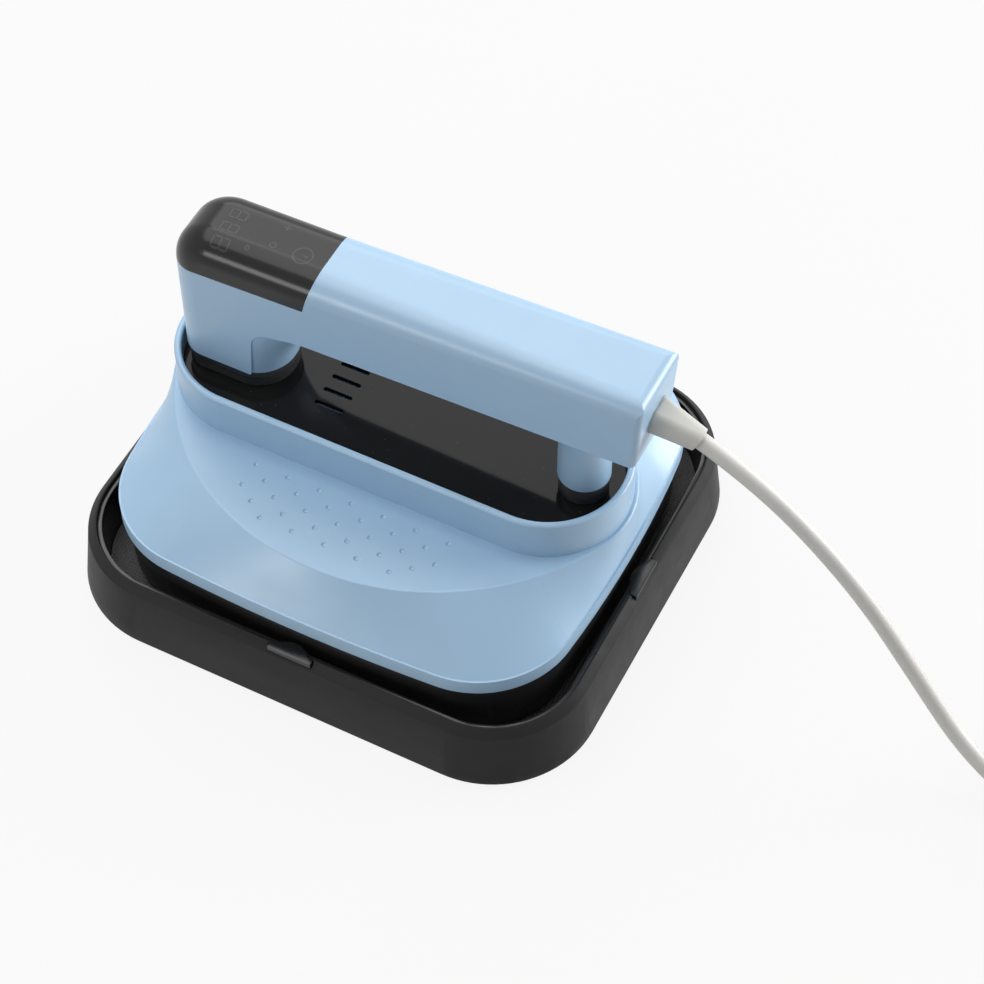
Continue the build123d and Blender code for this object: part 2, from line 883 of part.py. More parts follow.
def front_form(inset, base):
    """Display end of the handle, with one radius around nose and long edges."""
    climb = radians(top_rise)
    front = handle_front + inset
    half = handle_width / 2 - inset
    seat_z = top_at(cap_end) - inset / cos(climb)
    front_z = seat_z - (cap_end - front) * tan(climb)
    seat_x = cap_end + (seat_z - base) * tan(climb)
    with BuildPart() as form:
        with BuildSketch(Plane.XZ) as side:
            Polygon(
                (front, base), (front, front_z), (cap_end, seat_z), (seat_x, base), align=None
            )
            nose = side.vertices().group_by(Axis.X)[0].sort_by(Axis.Y)[-1]
            fillet(nose, nose_radius - inset)
        extrude(amount=half, both=True)
        edges = on_side(form, half, front - GAP, cap_end - GAP, base + GAP, seat_z)
        fillet(edges, edge_radius_front - inset)
    return form.part


def rear_form(inset, base, lean):
    """Bar behind the cap, whose long edges sharpen towards the cord end."""
    climb = radians(top_rise)
    half = handle_width / 2 - inset
    rear = handle_rear - inset
    shear = lean / (top_at(rear) - under_at(rear))
    seat_z = top_at(cap_end) - inset / cos(climb)
    seat_x = cap_end + (seat_z - base) * tan(climb)
    rear_z = seat_z + (rear + lean - cap_end) * tan(climb)
    low_x = rear - (under_at(rear) - base) * shear
    seat = Plane(
        origin=(cap_end, 0, seat_z), x_dir=(0, 1, 0), z_dir=(cos(climb), 0, sin(climb))
    )
    length = (rear + rear_lean - cap_end) / cos(climb)
    depth = handle_top - leg_bottom
    with BuildPart() as form:
        with BuildSketch(Plane.XZ) as side:
            Polygon(
                (seat_x, base), (cap_end, seat_z), (rear + lean, rear_z), (low_x, base), align=None
            )
            tail = side.vertices().group_by(Axis.Y)[-1].sort_by(Axis.X)[-1]
            fillet(tail, tail_radius - inset)
        extrude(amount=half, both=True)
        edges = on_side(form, half, low_x - GAP, rear + lean + GAP, base + GAP, rear_z)
        fillet(edges, rear_corner - inset)
    with BuildPart() as bar:
        for distance, radius in ((0, edge_radius_front), (length, edge_radius_rear)):
            with BuildSketch(seat.offset(distance)) as section:
                with Locations((0, -depth / 2)):
                    Rectangle(2 * half, depth)
                fillet(section.vertices().group_by(Axis.Y)[-1], radius - inset)
        loft()
        add(form.part, mode=Mode.INTERSECT)
    return bar.part


def handle_form(inset, base, lean):
    """Rounded bar of the whole handle, drawn in by inset, from a level up."""
    with BuildPart() as form:
        add(front_form(inset, base))
        add(rear_form(inset, base, lean))
    return form.part


def column_form(inset, base):
    """Rounded column and its sweep to the bar, drawn in by inset, from a level up."""
    face = column_end - inset
    back = face - column_corner - handle_wall
    far = column_end + flare_radius + column_corner
    half = column_y - inset
    lift = inset / cos(radians(under_rise))
    low = leg_bottom - column_corner
    high = under_at(far) + flare_radius
    with BuildPart() as form:
        with BuildSketch(Plane.XZ):
            with BuildLine():
                sweep_points = (
                    (face, low),
                    (face, under_at(face) + lift),
                    (far, under_at(far) + lift),
                )
                FilletPolyline(*sweep_points, radius=flare_radius + inset)
                Polyline((far, under_at(far) + lift), (far, high), (back, high))
                Polyline((back, high), (back, low), (face, low))
            make_face()
        extrude(amount=half, both=True)
        edges = on_side(form, half, face - GAP, far - GAP, low + GAP, high - GAP)
        fillet(edges, column_corner - inset)
        with BuildSketch(Plane.XY.offset(base)):
            with Locations((back, 0)):
                Rectangle(far - back, 2 * half, align=(Align.MIN, Align.CENTER))
        extrude(amount=high - base, mode=Mode.INTERSECT)
    return form.part


def under_seam():
    """Side view of the space under the bar, up to the shell's arched seam."""
    low = leg_bottom - leg_floor
    far = handle_rear + 2 * handle_wall
    arch_x = leg_end + arch_lean
    with BuildSketch(Plane.XZ) as space:
        Polygon(
            (leg_end, low),
            (leg_end, leg_bottom),
            (arch_x, under_at(arch_x) - arch_drop),
            (arch_end, under_at(arch_end)),
            (far, under_at(far)),
            (far, low),
            align=None,
        )
        fillet(space.vertices().sort_by(Axis.X)[3], arch_blend)
        fillet(space.vertices().sort_by(Axis.X)[2], arch_radius)
    return space.sketch


def side_strip(low_start, low_end, thickness):
    """Side view from two low levels up to the underside raised by thickness."""
    with BuildSketch(Plane.XZ) as strip:
        Polygon(
            (leg_end, low_start),
            (leg_end, under_at(leg_end) + thickness),
            (cover_end, under_at(cover_end) + thickness),
            (cover_end, low_end),
            align=None,
        )
    return strip.sketch


under_bar = side_strip(leg_bottom, leg_bottom, 0)
cover_side = side_strip(under_at(leg_end), under_at(cover_end), handle_wall)
outer_form = handle_form(0, leg_bottom, rear_lean)
inner_form = handle_form(handle_wall, leg_bottom + leg_floor, 0)

cap_low = top_at(cap_end) - cap_depth
cap_high = handle_top + handle_wall
cap_front = handle_front - handle_wall
with BuildPart() as cap_zone:
    with BuildSketch(Plane.XZ):
        Polygon(
            (cap_front, cap_low - (cap_end - cap_front) * tan(radians(cap_rise))),
            (cap_end, cap_low),
            (cap_end + (cap_high - cap_low) * tan(radians(cap_lean)), cap_high),
            (cap_front, cap_high),
            align=None,
        )
    extrude(amount=handle_width, both=True)

peg_places = [(display_board_x + x, y) for x, y in peg_shifts]
with BuildPart() as display_cap:
    add(outer_form)
    add(inner_form, mode=Mode.SUBTRACT)
    add(cap_zone.part, mode=Mode.INTERSECT)
    with BuildSketch(Plane.XY.offset(display_board_top)):
        with Locations(*peg_places):
            Circle(peg_diameter / 2)
    extrude(amount=display_drop + handle_wall / 2)
    with BuildSketch(Plane.XY.offset(display_board_top)):
        with Locations(*peg_places):
            Circle(peg_screw / 2 + RUNNING)
    extrude(amount=peg_screw_reach + GAP, mode=Mode.SUBTRACT)
finish(display_cap.part, "display_cap")

inner_half = handle_width / 2 - handle_wall - GAP
relief_plane = cross_plane.offset(handle_rear - handle_wall)
relief_neck = handle_wall + rear_lean
cover_places = ((cover_screw_x, cover_screw_y), (cover_screw_x, -cover_screw_y))
cover_seat = under_at(cover_screw_x) + cover_bore_depth
cover_pad_top = under_at(cover_screw_x) + cover_pad_height
leg_screw_places = handle_screw_places[:2]
with BuildPart() as handle_shell:
    add(outer_form)
    extrude(under_seam(), amount=handle_width, both=True, mode=Mode.SUBTRACT)
    extrude(under_bar, amount=inner_half + GAP, both=True, mode=Mode.SUBTRACT)
    add(inner_form, mode=Mode.SUBTRACT)
    with BuildSketch(Plane.XY.offset(leg_bottom)):
        with Locations(*leg_screw_places):
            Circle(leg_boss_diameter / 2)
    extrude(amount=leg_boss_height)
    with BuildSketch(Plane.XY.offset(cover_pad_top)):
        with Locations(*cover_places):
            Circle(pillar_diameter / 2)
    extrude(amount=top_at(cover_screw_x) - handle_wall / 2 - cover_pad_top)
    add(cap_zone.part, mode=Mode.SUBTRACT)
    add(passages(leg_bottom, leg_floor), mode=Mode.SUBTRACT)
    with BuildSketch(Plane.XY.offset(leg_bottom)):
        with Locations(*leg_screw_places):
            Circle(handle_screw / 2 + RUNNING)
    extrude(amount=handle_screw_reach + GAP, mode=Mode.SUBTRACT)
    with BuildSketch(Plane.XY.offset(cover_pad_top)):
        with Locations(*cover_places):
            Circle(cover_screw / 2 + RUNNING)
    extrude(amount=cover_screw_reach + GAP, mode=Mode.SUBTRACT)
    with BuildSketch(relief_plane):
        with Locations((0, relief_z)):
            RectangleRounded(
                relief_width + 2 * relief_window_gap,
                relief_height + 2 * relief_window_gap,
                relief_corner + relief_window_gap,
            )
    extrude(amount=relief_neck, mode=Mode.SUBTRACT)
finish(handle_shell.part, "handle_shell")

clamp_base = relief_z - cord_radius / 2
clamp_places = ((clamp_x, clamp_screw_y), (clamp_x, -clamp_screw_y))
with BuildPart() as column_outside:
    add(column_form(0, leg_bottom))
    extrude(under_seam(), amount=handle_width, both=True, mode=Mode.INTERSECT)

with BuildPart() as column_inside:
    add(column_form(0, leg_bottom))
    extrude(under_bar, amount=inner_half, both=True, mode=Mode.INTERSECT)

with BuildPart() as handle_underside:
    add(column_outside.part)
    add(column_inside.part)
    extrude(cover_side, amount=inner_half, both=True)
    add(column_form(handle_wall, leg_bottom + leg_floor), mode=Mode.SUBTRACT)
    with BuildSketch(Plane.XY.offset(leg_bottom)):
        with Locations((post_x, 0)):
            Circle(post_radius)
    extrude(amount=cover_at(post_x) - leg_bottom)
    with BuildSketch(Plane.XY.offset(leg_bottom + post_floor)):
        with Locations((post_x, 0)):
            Circle(post_radius - handle_wall)
    extrude(amount=cover_at(post_x) - leg_bottom - post_floor + handle_wall, mode=Mode.SUBTRACT)
    with BuildSketch(Plane.XY.offset(leg_bottom)):
        with Locations((post_x, 0)):
            Circle(handle_screw / 2 + RUNNING)
    extrude(amount=handle_screw_reach + GAP, mode=Mode.SUBTRACT)
    with BuildSketch(Plane.XY.offset(cover_at(cover_screw_x))):
        with Locations(*cover_places):
            Circle(cover_pad_diameter / 2)
    extrude(amount=cover_pad_top - cover_at(cover_screw_x))
    with BuildSketch(Plane.XY.offset(cover_seat)):
        with Locations(*cover_places):
            Circle(cover_screw_head / 2 + GAP)
    extrude(amount=-cover_bore_depth - handle_wall, mode=Mode.SUBTRACT)
    with BuildSketch(Plane.XY.offset(cover_seat)):
        with Locations(*cover_places):
            Circle(cover_screw / 2 + RUNNING)
    extrude(amount=cover_pad_height, mode=Mode.SUBTRACT)
    for stud_x in (power_board_x - stud_spacing_x / 2, power_board_x + stud_spacing_x / 2):
        with BuildSketch(Plane.XY.offset(cover_at(stud_x))):
            with Locations((stud_x, 0)):
                with GridLocations(0, stud_spacing_y, 1, 2):
                    Circle(stud_diameter / 2)
        extrude(amount=power_board_base - cover_at(stud_x))
    with BuildSketch(Plane.XY.offset(cover_at(clamp_x))):
        with Locations((clamp_x, 0)):
            Rectangle(clamp_length, clamp_width)
    extrude(amount=clamp_base - cover_at(clamp_x))
    with BuildSketch(cross_plane.offset(clamp_x - clamp_length / 2)):
        with Locations((0, relief_z)):
            Circle(cord_radius)
    extrude(amount=clamp_length, mode=Mode.SUBTRACT)
    with BuildSketch(Plane.XY.offset(clamp_base)):
        with Locations(*clamp_places):
            Circle(clamp_screw / 2 + RUNNING)
    extrude(amount=-clamp_screw_reach - GAP, mode=Mode.SUBTRACT)
finish(handle_underside.part, "handle_underside")

cover_screws = screws(
    cover_screw,
    cover_pad_height - cover_bore_depth + cover_screw_reach,
    cover_screw_head,
    cover_screw_head_height,
    cover_places,
    cover_seat,
)
finish(cover_screws, "cover_screws")

with BuildPart() as cord_clamp:
    with BuildSketch(Plane.XY.offset(clamp_base)):
        with Locations((clamp_x, 0)):
            Rectangle(clamp_length, clamp_width)
        with Locations(*clamp_places):
            Circle(clamp_screw / 2 + RUNNING, mode=Mode.SUBTRACT)
    extrude(amount=clamp_height)
    with BuildSketch(cross_plane.offset(clamp_x - clamp_length / 2)):
        with Locations((0, relief_z)):
            Circle(cord_radius)
    extrude(amount=clamp_length, mode=Mode.SUBTRACT)
finish(cord_clamp.part, "cord_clamp")

clamp_screws = screws(
    clamp_screw,
    clamp_height + clamp_screw_reach,
    clamp_screw_head,
    clamp_screw_head_height,
    clamp_places,
    clamp_base + clamp_height,
    turned=180,
)
finish(clamp_screws, "clamp_screws")

# ============================================================ the electronics
with BuildPart() as display_board:
    with BuildSketch(Plane.XY.offset(display_board_top)):
        with Locations((display_board_x, 0)):
            Rectangle(display_board_length, display_board_width)
        with Locations(*peg_places):
            Circle(peg_screw / 2 + RUNNING, mode=Mode.SUBTRACT)
    extrude(amount=-board_thickness)
finish(display_board.part, "display_board")

display_screws = screws(
    peg_screw,
    board_thickness + peg_screw_reach,
    peg_screw_head,
    peg_screw_head_height,
    peg_places,
    display_board_top - board_thickness,
)
finish(display_screws, "display_screws")

with BuildPart() as led_display:
    with BuildSketch(Plane.XY.offset(display_board_top)):
        with Locations((module_x, 0)):
            Rectangle(module_length, module_width)
    extrude(amount=module_height)
finish(led_display.part, "led_display")

with BuildPart() as touch_springs:
    with BuildSketch(Plane.XY.offset(display_board_top)):
        with Locations(*[(display_board_x + x, y) for x, y in key_shifts]):
            Circle(key_spring_diameter / 2)
    extrude(amount=key_spring_height)
finish(touch_springs.part, "touch_springs")

with BuildPart() as power_board:
    with BuildSketch(Plane.XY.offset(power_board_base)):
        with Locations((power_board_x, 0)):
            Rectangle(power_board_length, power_board_width)
    extrude(amount=board_thickness)
finish(power_board.part, "power_board")


def board_block(shift, size):
    """Boxed component standing on the power board."""
    with BuildPart() as block:
        with BuildSketch(Plane.XY.offset(power_board_top)):
            with Locations((power_board_x + shift, 0)):
                Rectangle(size[0], size[1])
        extrude(amount=size[2])
    return block.part


finish(board_block(relay_shift, relay_size), "power_relay")
finish(board_block(capacitor_shift, capacitor_size), "filter_capacitor")
finish(board_block(block_shift, block_size), "terminal_block")

lead_start = power_board_x + block_shift - block_size[0] / 2
lead_level = power_board_top + block_size[2] / 2
with BuildPart() as heater_leads:
    for side in (terminal_y, -terminal_y):
        lead_points = (
            (lead_start, side, lead_level),
            (terminal_x, side, lead_level),
            (terminal_x, side, terminal_top),
        )
        add(tube(lead_points, lead_bend, lead_diameter))
finish(heater_leads.part, "heater_leads")

# =================================================================== the cord
tip = Vector(*cord_points[0])
tip_run = Vector(*cord_points[1]) - tip
with BuildPart() as strain_relief:
    with BuildSketch(relief_plane.offset(-relief_flange)):
        with Locations((0, relief_z)):
            RectangleRounded(
                relief_width + 2 * relief_flange_margin,
                relief_height + 2 * relief_flange_margin,
                relief_corner + relief_flange_margin,
            )
    extrude(amount=relief_flange)
    with BuildSketch(relief_plane):
        with Locations((0, relief_z)):
            RectangleRounded(relief_width, relief_height, relief_corner)
    extrude(amount=relief_neck)
    with BuildSketch(relief_plane.offset(relief_neck)):
        with Locations((0, relief_z)):
            RectangleRounded(relief_width, relief_height, relief_corner)
    with BuildSketch(Plane(origin=tip, x_dir=(0, 1, 0), z_dir=tip_run)):
        RectangleRounded(
            relief_tip_diameter, relief_tip_diameter, relief_tip_diameter / 2 - RUNNING
        )
    loft()
finish(strain_relief.part, "strain_relief")

inner_cord_start = clamp_x - inner_cord_reach
with BuildPart() as inner_cord:
    with BuildSketch(cross_plane.offset(inner_cord_start)):
        with Locations((0, relief_z)):
            Circle(cord_radius)
    extrude(amount=handle_rear - handle_wall - relief_flange - inner_cord_start)
finish(inner_cord.part, "inner_cord")


def bend_radii(points):
    """Largest comfortable radius at each corner of the cord's route."""
    radii = []
    for before, corner, after in zip(points, points[1:], points[2:]):
        first = Vector(*corner) - Vector(*before)
        second = Vector(*after) - Vector(*corner)
        half_turn = radians(first.get_angle(second)) / 2
        radii.append(0.45 * min(first.length, second.length) / tan(half_turn))
    return radii


route_end = cord_points[-1]
tube_points = cord_points[:-1] + ((route_end[0] - BODY_GAP, route_end[1], route_end[2]),)
cord_radii = bend_radii(tube_points)
finish(tube(tube_points, cord_radii, cord_diameter), "mains_cord")

coil_x = route_end[0] + coil_lead_in
outer_turn = coil_mean_radius + cord_radius * (coil_columns - 1)
coil_y = route_end[1] + outer_turn
tail_x = coil_x + outer_turn
coil_middle = coil_height / 2
with BuildPart() as cord_coil:
    with BuildSketch(Plane.XZ):
        with Locations((coil_mean_radius, coil_middle)):
            with GridLocations(cord_diameter, cord_diameter, coil_columns, coil_layers):
                Circle(cord_radius)
            Rectangle(coil_half_width * 2 - cord_radius, coil_height - cord_radius)
    revolve(axis=Axis.Z)
coil_ring = cord_coil.part.moved(Location((coil_x, coil_y, 0)))
with BuildPart() as cord_coil:
    add(coil_ring)
    with BuildSketch(cross_plane.offset(route_end[0])):
        with Locations((route_end[1], route_end[2])):
            Circle(cord_radius)
    extrude(amount=coil_lead_in + cord_radius)
    with BuildSketch(Plane.XZ.offset(cord_radius - coil_y)):
        with Locations((tail_x, coil_middle)):
            Circle(cord_radius)
    extrude(amount=-coil_tail - cord_radius)
finish(cord_coil.part, "cord_coil")

plug_y = coil_y + coil_tail
plug_plane = Plane(origin=(tail_x, plug_y, coil_middle), x_dir=(-1, 0, 0), z_dir=(0, 1, 0))
with BuildPart() as plug_body:
    with BuildSketch(plug_plane):
        RectangleRounded(plug_nose_width, plug_nose_width, plug_corner)
    with BuildSketch(plug_plane.offset(plug_nose_width)):
        RectangleRounded(plug_width, coil_height, plug_corner)
    loft()
    with BuildSketch(plug_plane.offset(plug_nose_width)):
        RectangleRounded(plug_width, coil_height, plug_corner)
    extrude(amount=plug_length - plug_nose_width)
finish(plug_body.part, "plug_body")

with BuildPart() as plug_pins:
    with BuildSketch(plug_plane.offset(plug_length)):
        with Locations((-blade_spacing / 2, blade_rise), (blade_spacing / 2, blade_rise)):
            Rectangle(blade_thickness, blade_width)
        with Locations((0, blade_rise - ground_pin_offset)):
            Circle(ground_pin_diameter / 2)
    extrude(amount=blade_length)
finish(plug_pins.part, "plug_pins")

cord_section = pi * cord_radius**2
tube_length = tube(tube_points, cord_radii, cord_diameter).volume / cord_section
coil_length = cord_length - tube_length
print("cord bends:", [round(radius, 1) for radius in cord_radii])
print("cord tube length:", round(tube_length, 1), "left for the coil:", round(coil_length, 1))
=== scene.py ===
"""Looks of a mini hand-held heat press: its pieces, finishes, studio and camera.

The press stands in its storage tray and lifts straight out of it. Lengths are in
metres, in the part's own frame: +X runs along the handle towards the cord, +Y
away from the working side and +Z up.
"""

import logging
import math
from collections.abc import Callable, Iterable
from dataclasses import dataclass, field
from enum import Enum

import bpy
from mathutils import Matrix, Vector


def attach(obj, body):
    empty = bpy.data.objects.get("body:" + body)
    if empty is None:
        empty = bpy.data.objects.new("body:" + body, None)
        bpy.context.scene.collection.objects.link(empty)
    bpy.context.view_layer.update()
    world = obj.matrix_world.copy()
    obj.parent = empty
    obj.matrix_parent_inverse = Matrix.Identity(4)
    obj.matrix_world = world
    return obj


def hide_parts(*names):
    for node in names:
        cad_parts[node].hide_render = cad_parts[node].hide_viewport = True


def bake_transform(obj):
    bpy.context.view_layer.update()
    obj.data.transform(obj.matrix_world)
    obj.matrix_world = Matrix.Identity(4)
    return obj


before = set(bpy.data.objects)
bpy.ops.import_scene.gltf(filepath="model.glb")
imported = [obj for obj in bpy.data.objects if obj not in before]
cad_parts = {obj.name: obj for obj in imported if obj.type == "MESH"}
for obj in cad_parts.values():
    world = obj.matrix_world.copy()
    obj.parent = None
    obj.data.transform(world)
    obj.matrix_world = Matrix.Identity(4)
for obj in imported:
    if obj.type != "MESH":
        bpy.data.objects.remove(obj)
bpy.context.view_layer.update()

log = logging.getLogger("heat_press")

MM = 0.001
WELD = 1e-6                   # corners closer than this are one corner
FLAT = math.radians(0.2)      # faces that differ by less are one flat face
SHARP = math.radians(38.0)    # edges sharper than this get a small round
SMOOTH = math.radians(32.0)   # edges blunter than this are shaded smooth
OUTERMOST = 0.02 * MM         # no corner stands further out than this from an outer face
RIDGE = 0.314                 # width of one ridge of the wave texture at scale 1
QUARTER = math.pi / 2

Colour = tuple[float, float, float]
Point = tuple[float, float, float]
Span = tuple[float, float]    # where a pattern starts and ends to show
Step = tuple[float, float]    # advance along a piece, and scale of its section there
Socket = bpy.types.NodeSocket


class Body(Enum):
    """Bodies of the part that pieces ride on."""

    TRAY = "tray"
    PRESS = "press"


class Slot(Enum):
    """Material slots of the part's record."""

    TRAY = "tray_plastic"
    LINER = "liner_plastic"
    PAD = "pad_felt"
    FOOT = "foot_rubber"
    PLATEN = "platen"
    SHEATH = "sheath_steel"
    SHIELD = "shield_steel"
    FIBRE = "fibre"
    CUTOUT = "cutout_body"
    BRASS = "brass"
    SCREW = "screw_steel"
    SKIRT = "skirt_plastic"
    HOUSING = "blue_plastic"
    HANDLE = "blue_handle"
    DECK = "deck_plastic"
    BLACK = "black_plastic"
    CAP = "cap_plastic"
    BOARD = "board"
    RELAY = "relay_plastic"
    FILM = "film_plastic"
    BLOCK = "block_plastic"
    MODULE = "module_plastic"
    LEAD = "lead_silicone"
    JACKET = "cord_jacket"
    RELIEF = "relief_rubber"
    PLUG = "plug_plastic"


# ------------------------------------------------------------------- finishes
def shaded(colour: Colour, share: float) -> Colour:
    """A colour made lighter by a share of itself, or darker by a negative one."""
    return tuple(min(1.0, channel * (1.0 + share)) for channel in colour)


class Shader:
    """Node tree of one material, with short calls for the nodes it needs."""

    def __init__(self, name: str) -> None:
        """Start a material around its surface shader.

        Args:
            name: Name of the material.
        """
        self.material = bpy.data.materials.new(name)
        self.material.use_nodes = True
        self.tree = self.material.node_tree
        self.surface = self.tree.nodes["Principled BSDF"]
        self.place = self.node("ShaderNodeTexCoord").outputs["Object"]

    def node(self, kind: str, **settings: object) -> bpy.types.Node:
        """Add a node and set its properties.

        Args:
            kind: Blender's name for the node type.
            settings: Properties of the node by name.

        Returns:
            The new node.
        """
        made = self.tree.nodes.new(kind)
        for name, value in settings.items():
            setattr(made, name, value)
        return made

    def link(self, source: Socket, target: Socket) -> None:
        """Join an output to an input."""
        self.tree.links.new(source, target)

    def fix(self, **values: float) -> None:
        """Set constants on the surface shader, by socket name with underscores."""
        for name, value in values.items():
            self.surface.inputs[name.replace("_", " ")].default_value = value

    def paint(self, colour: Socket) -> None:
        """Colour the surface by a coloured pattern."""
        self.link(colour, self.surface.inputs["Base Color"])

    def roughen(self, pattern: Socket, span: Span, middle: float, swing: float) -> None:
        """Vary the roughness with a pattern.

        Args:
            pattern: The pattern.
            span: Where it starts and ends to show.
            middle: Roughness half-way.
            swing: How much the roughness grows over the span.
        """
        level = self.spread(pattern, span, middle - swing / 2, middle + swing / 2)
        self.link(level, self.surface.inputs["Roughness"])

    def stretched(self, scale: Point, turn: float = 0.0) -> Socket:
        """Object coordinates scaled along each axis.

        Args:
            scale: Scale along X, Y and Z.
            turn: Turn about Z, in radians.

        Returns:
            The mapped coordinates.
        """
        mapping = self.node("ShaderNodeMapping")
        mapping.inputs["Scale"].default_value = scale
        mapping.inputs["Rotation"].default_value = (0.0, 0.0, turn)
        self.link(self.place, mapping.inputs["Vector"])
        return mapping.outputs["Vector"]

    def noise(self, size: float, detail: float = 2.0, place: Socket | None = None) -> Socket:
        """Cloudy pattern.

        Args:
            size: Size of one cloud, in metres.
            detail: How many finer octaves are added.
            place: Coordinates, if not the object's own.

        Returns:
            The pattern, from 0 to 1.
        """
        noise = self.node("ShaderNodeTexNoise")
        noise.inputs["Scale"].default_value = 1.0 / size
        noise.inputs["Detail"].default_value = detail
        self.link(place or self.place, noise.inputs["Vector"])
        return noise.outputs[0]

    def cells(self, size: float) -> Socket:
        """Pattern of scattered points.

        Args:
            size: How far apart the points are, in metres.

        Returns:
            The distance to the nearest point.
        """
        cells = self.node("ShaderNodeTexVoronoi")
        cells.inputs["Scale"].default_value = 1.0 / size
        self.link(self.place, cells.inputs["Vector"])
        return cells.outputs["Distance"]

    def waves(self, pitch: float, axis: str, wobble: float) -> Socket:
        """Pattern of even ridges.

        Args:
            pitch: Distance from ridge to ridge, in metres.
            axis: Axis that the ridges lie across.
            wobble: How much they wander.

        Returns:
            The pattern, from 0 to 1.
        """
        waves = self.node("ShaderNodeTexWave", bands_direction=axis)
        waves.inputs["Scale"].default_value = RIDGE / pitch
        waves.inputs["Distortion"].default_value = wobble
        self.link(self.place, waves.inputs["Vector"])
        return waves.outputs["Fac"]

    def spread(self, pattern: Socket, span: Span, start: float, end: float) -> Socket:
        """Map a pattern to a range of its own, and clamp it.

        Args:
            pattern: The pattern.
            span: Where it starts and ends to show.
            start: Value at the span's start.
            end: Value at its end.

        Returns:
            The mapped pattern.
        """
        spread = self.node("ShaderNodeMapRange")
        names = ("From Min", "From Max", "To Min", "To Max")
        for name, number in zip(names, (*span, start, end)):
            spread.inputs[name].default_value = number
        self.link(pattern, spread.inputs["Value"])
        return spread.outputs["Result"]

    def sums(self, first: Socket, second: Socket, share: float) -> Socket:
        """Add a share of one pattern to another.

        Args:
            first: The pattern that is taken whole.
            second: The pattern that is added.
            share: How much of the second is added.

        Returns:
            The sum.
        """
        sums = self.node("ShaderNodeMath", operation="MULTIPLY_ADD")
        self.link(second, sums.inputs[0])
        sums.inputs[1].default_value = share
        self.link(first, sums.inputs[2])
        return sums.outputs["Value"]

    def blend(self, share: Socket, first: Colour, second: Colour) -> Socket:
        """Mix two colours by a pattern.

        Args:
            share: The pattern, from 0 to 1.
            first: Colour at 0.
            second: Colour at 1.

        Returns:
            The mixed colour.
        """
        ramp = self.node("ShaderNodeValToRGB")
        ramp.color_ramp.elements[0].color = (*first, 1.0)
        ramp.color_ramp.elements[1].color = (*second, 1.0)
        self.link(share, ramp.inputs["Fac"])
        return ramp.outputs["Color"]

    def drift(self, pattern: Socket, colour: Colour, share: float) -> Socket:
        """Darken and lighten a colour by up to a share of itself, with a pattern."""
        return self.blend(pattern, shaded(colour, -share), shaded(colour, share))

    def over(self, share: Socket, under: Socket, top: Colour) -> Socket:
        """Lay a plain colour over a coloured pattern.

        Args:
            share: How much of the plain colour shows, from 0 to 1.
            under: The coloured pattern.
            top: The plain colour.

        Returns:
            The colour that shows.
        """
        mix = self.node("ShaderNodeMix", data_type="RGBA")
        self.link(share, mix.inputs[0])
        self.link(under, mix.inputs[6])
        mix.inputs[7].default_value = (*top, 1.0)
        return mix.outputs[2]

    def emboss(self, height: Socket, depth: float) -> None:
        """Raise a pattern on top of the reliefs before it.

        Args:
            height: The pattern, from 0 to 1.
            depth: How high it stands, in metres.
        """
        bump = self.node("ShaderNodeBump")
        bump.inputs["Strength"].default_value = 1.0
        bump.inputs["Distance"].default_value = depth
        normal = self.surface.inputs["Normal"]
        if normal.is_linked:
            self.link(normal.links[0].from_socket, bump.inputs["Normal"])
        self.link(height, bump.inputs["Height"])
        self.link(bump.outputs["Normal"], normal)


@dataclass(frozen=True)
class Moulded:
    """Injection-moulded plastic with a fine grain, faint mottling and rub marks."""

    colour: Colour
    roughness: float = 0.4
    specular: float = 0.5
    grain: float = 0.45 * MM      # size of the mould's texture
    relief: float = 0.008 * MM    # and its height
    mottle: float = 0.03          # how far the colour drifts
    clouds: float = 18 * MM       # size of the places that it drifts over
    cloud_span: Span = (0.3, 0.7)
    rubbed: float = 0.06          # how much glossier rubbed places are
    strokes: float = 9 * MM       # width of those places
    stroke_shape: Point = (0.35, 1.0, 1.0)
    stroke_span: Span = (0.35, 0.68)

    def make(self, name: str) -> bpy.types.Material:
        """Make the material.

        Args:
            name: Name of the material.

        Returns:
            The material.
        """
        shader = Shader(name)
        shader.fix(Specular_IOR_Level=self.specular)
        self.tint(shader)
        self.gloss(shader)
        self.raise_grain(shader)
        return shader.material

    def tint(self, shader: Shader) -> None:
        """Mottle the colour slowly over the piece."""
        clouds = shader.spread(shader.noise(self.clouds, 4.0), self.cloud_span, 0.0, 1.0)
        shader.paint(shader.drift(clouds, self.colour, self.mottle))

    def gloss(self, shader: Shader) -> None:
        """Rub some places smoother, along the handle's length."""
        strokes = shader.noise(self.strokes, 5.0, shader.stretched(self.stroke_shape))
        shader.roughen(strokes, self.stroke_span, self.roughness, -self.rubbed)

    def raise_grain(self, shader: Shader) -> None:
        """Add the mould's grain."""
        shader.emboss(shader.noise(self.grain, 1.0), self.relief)


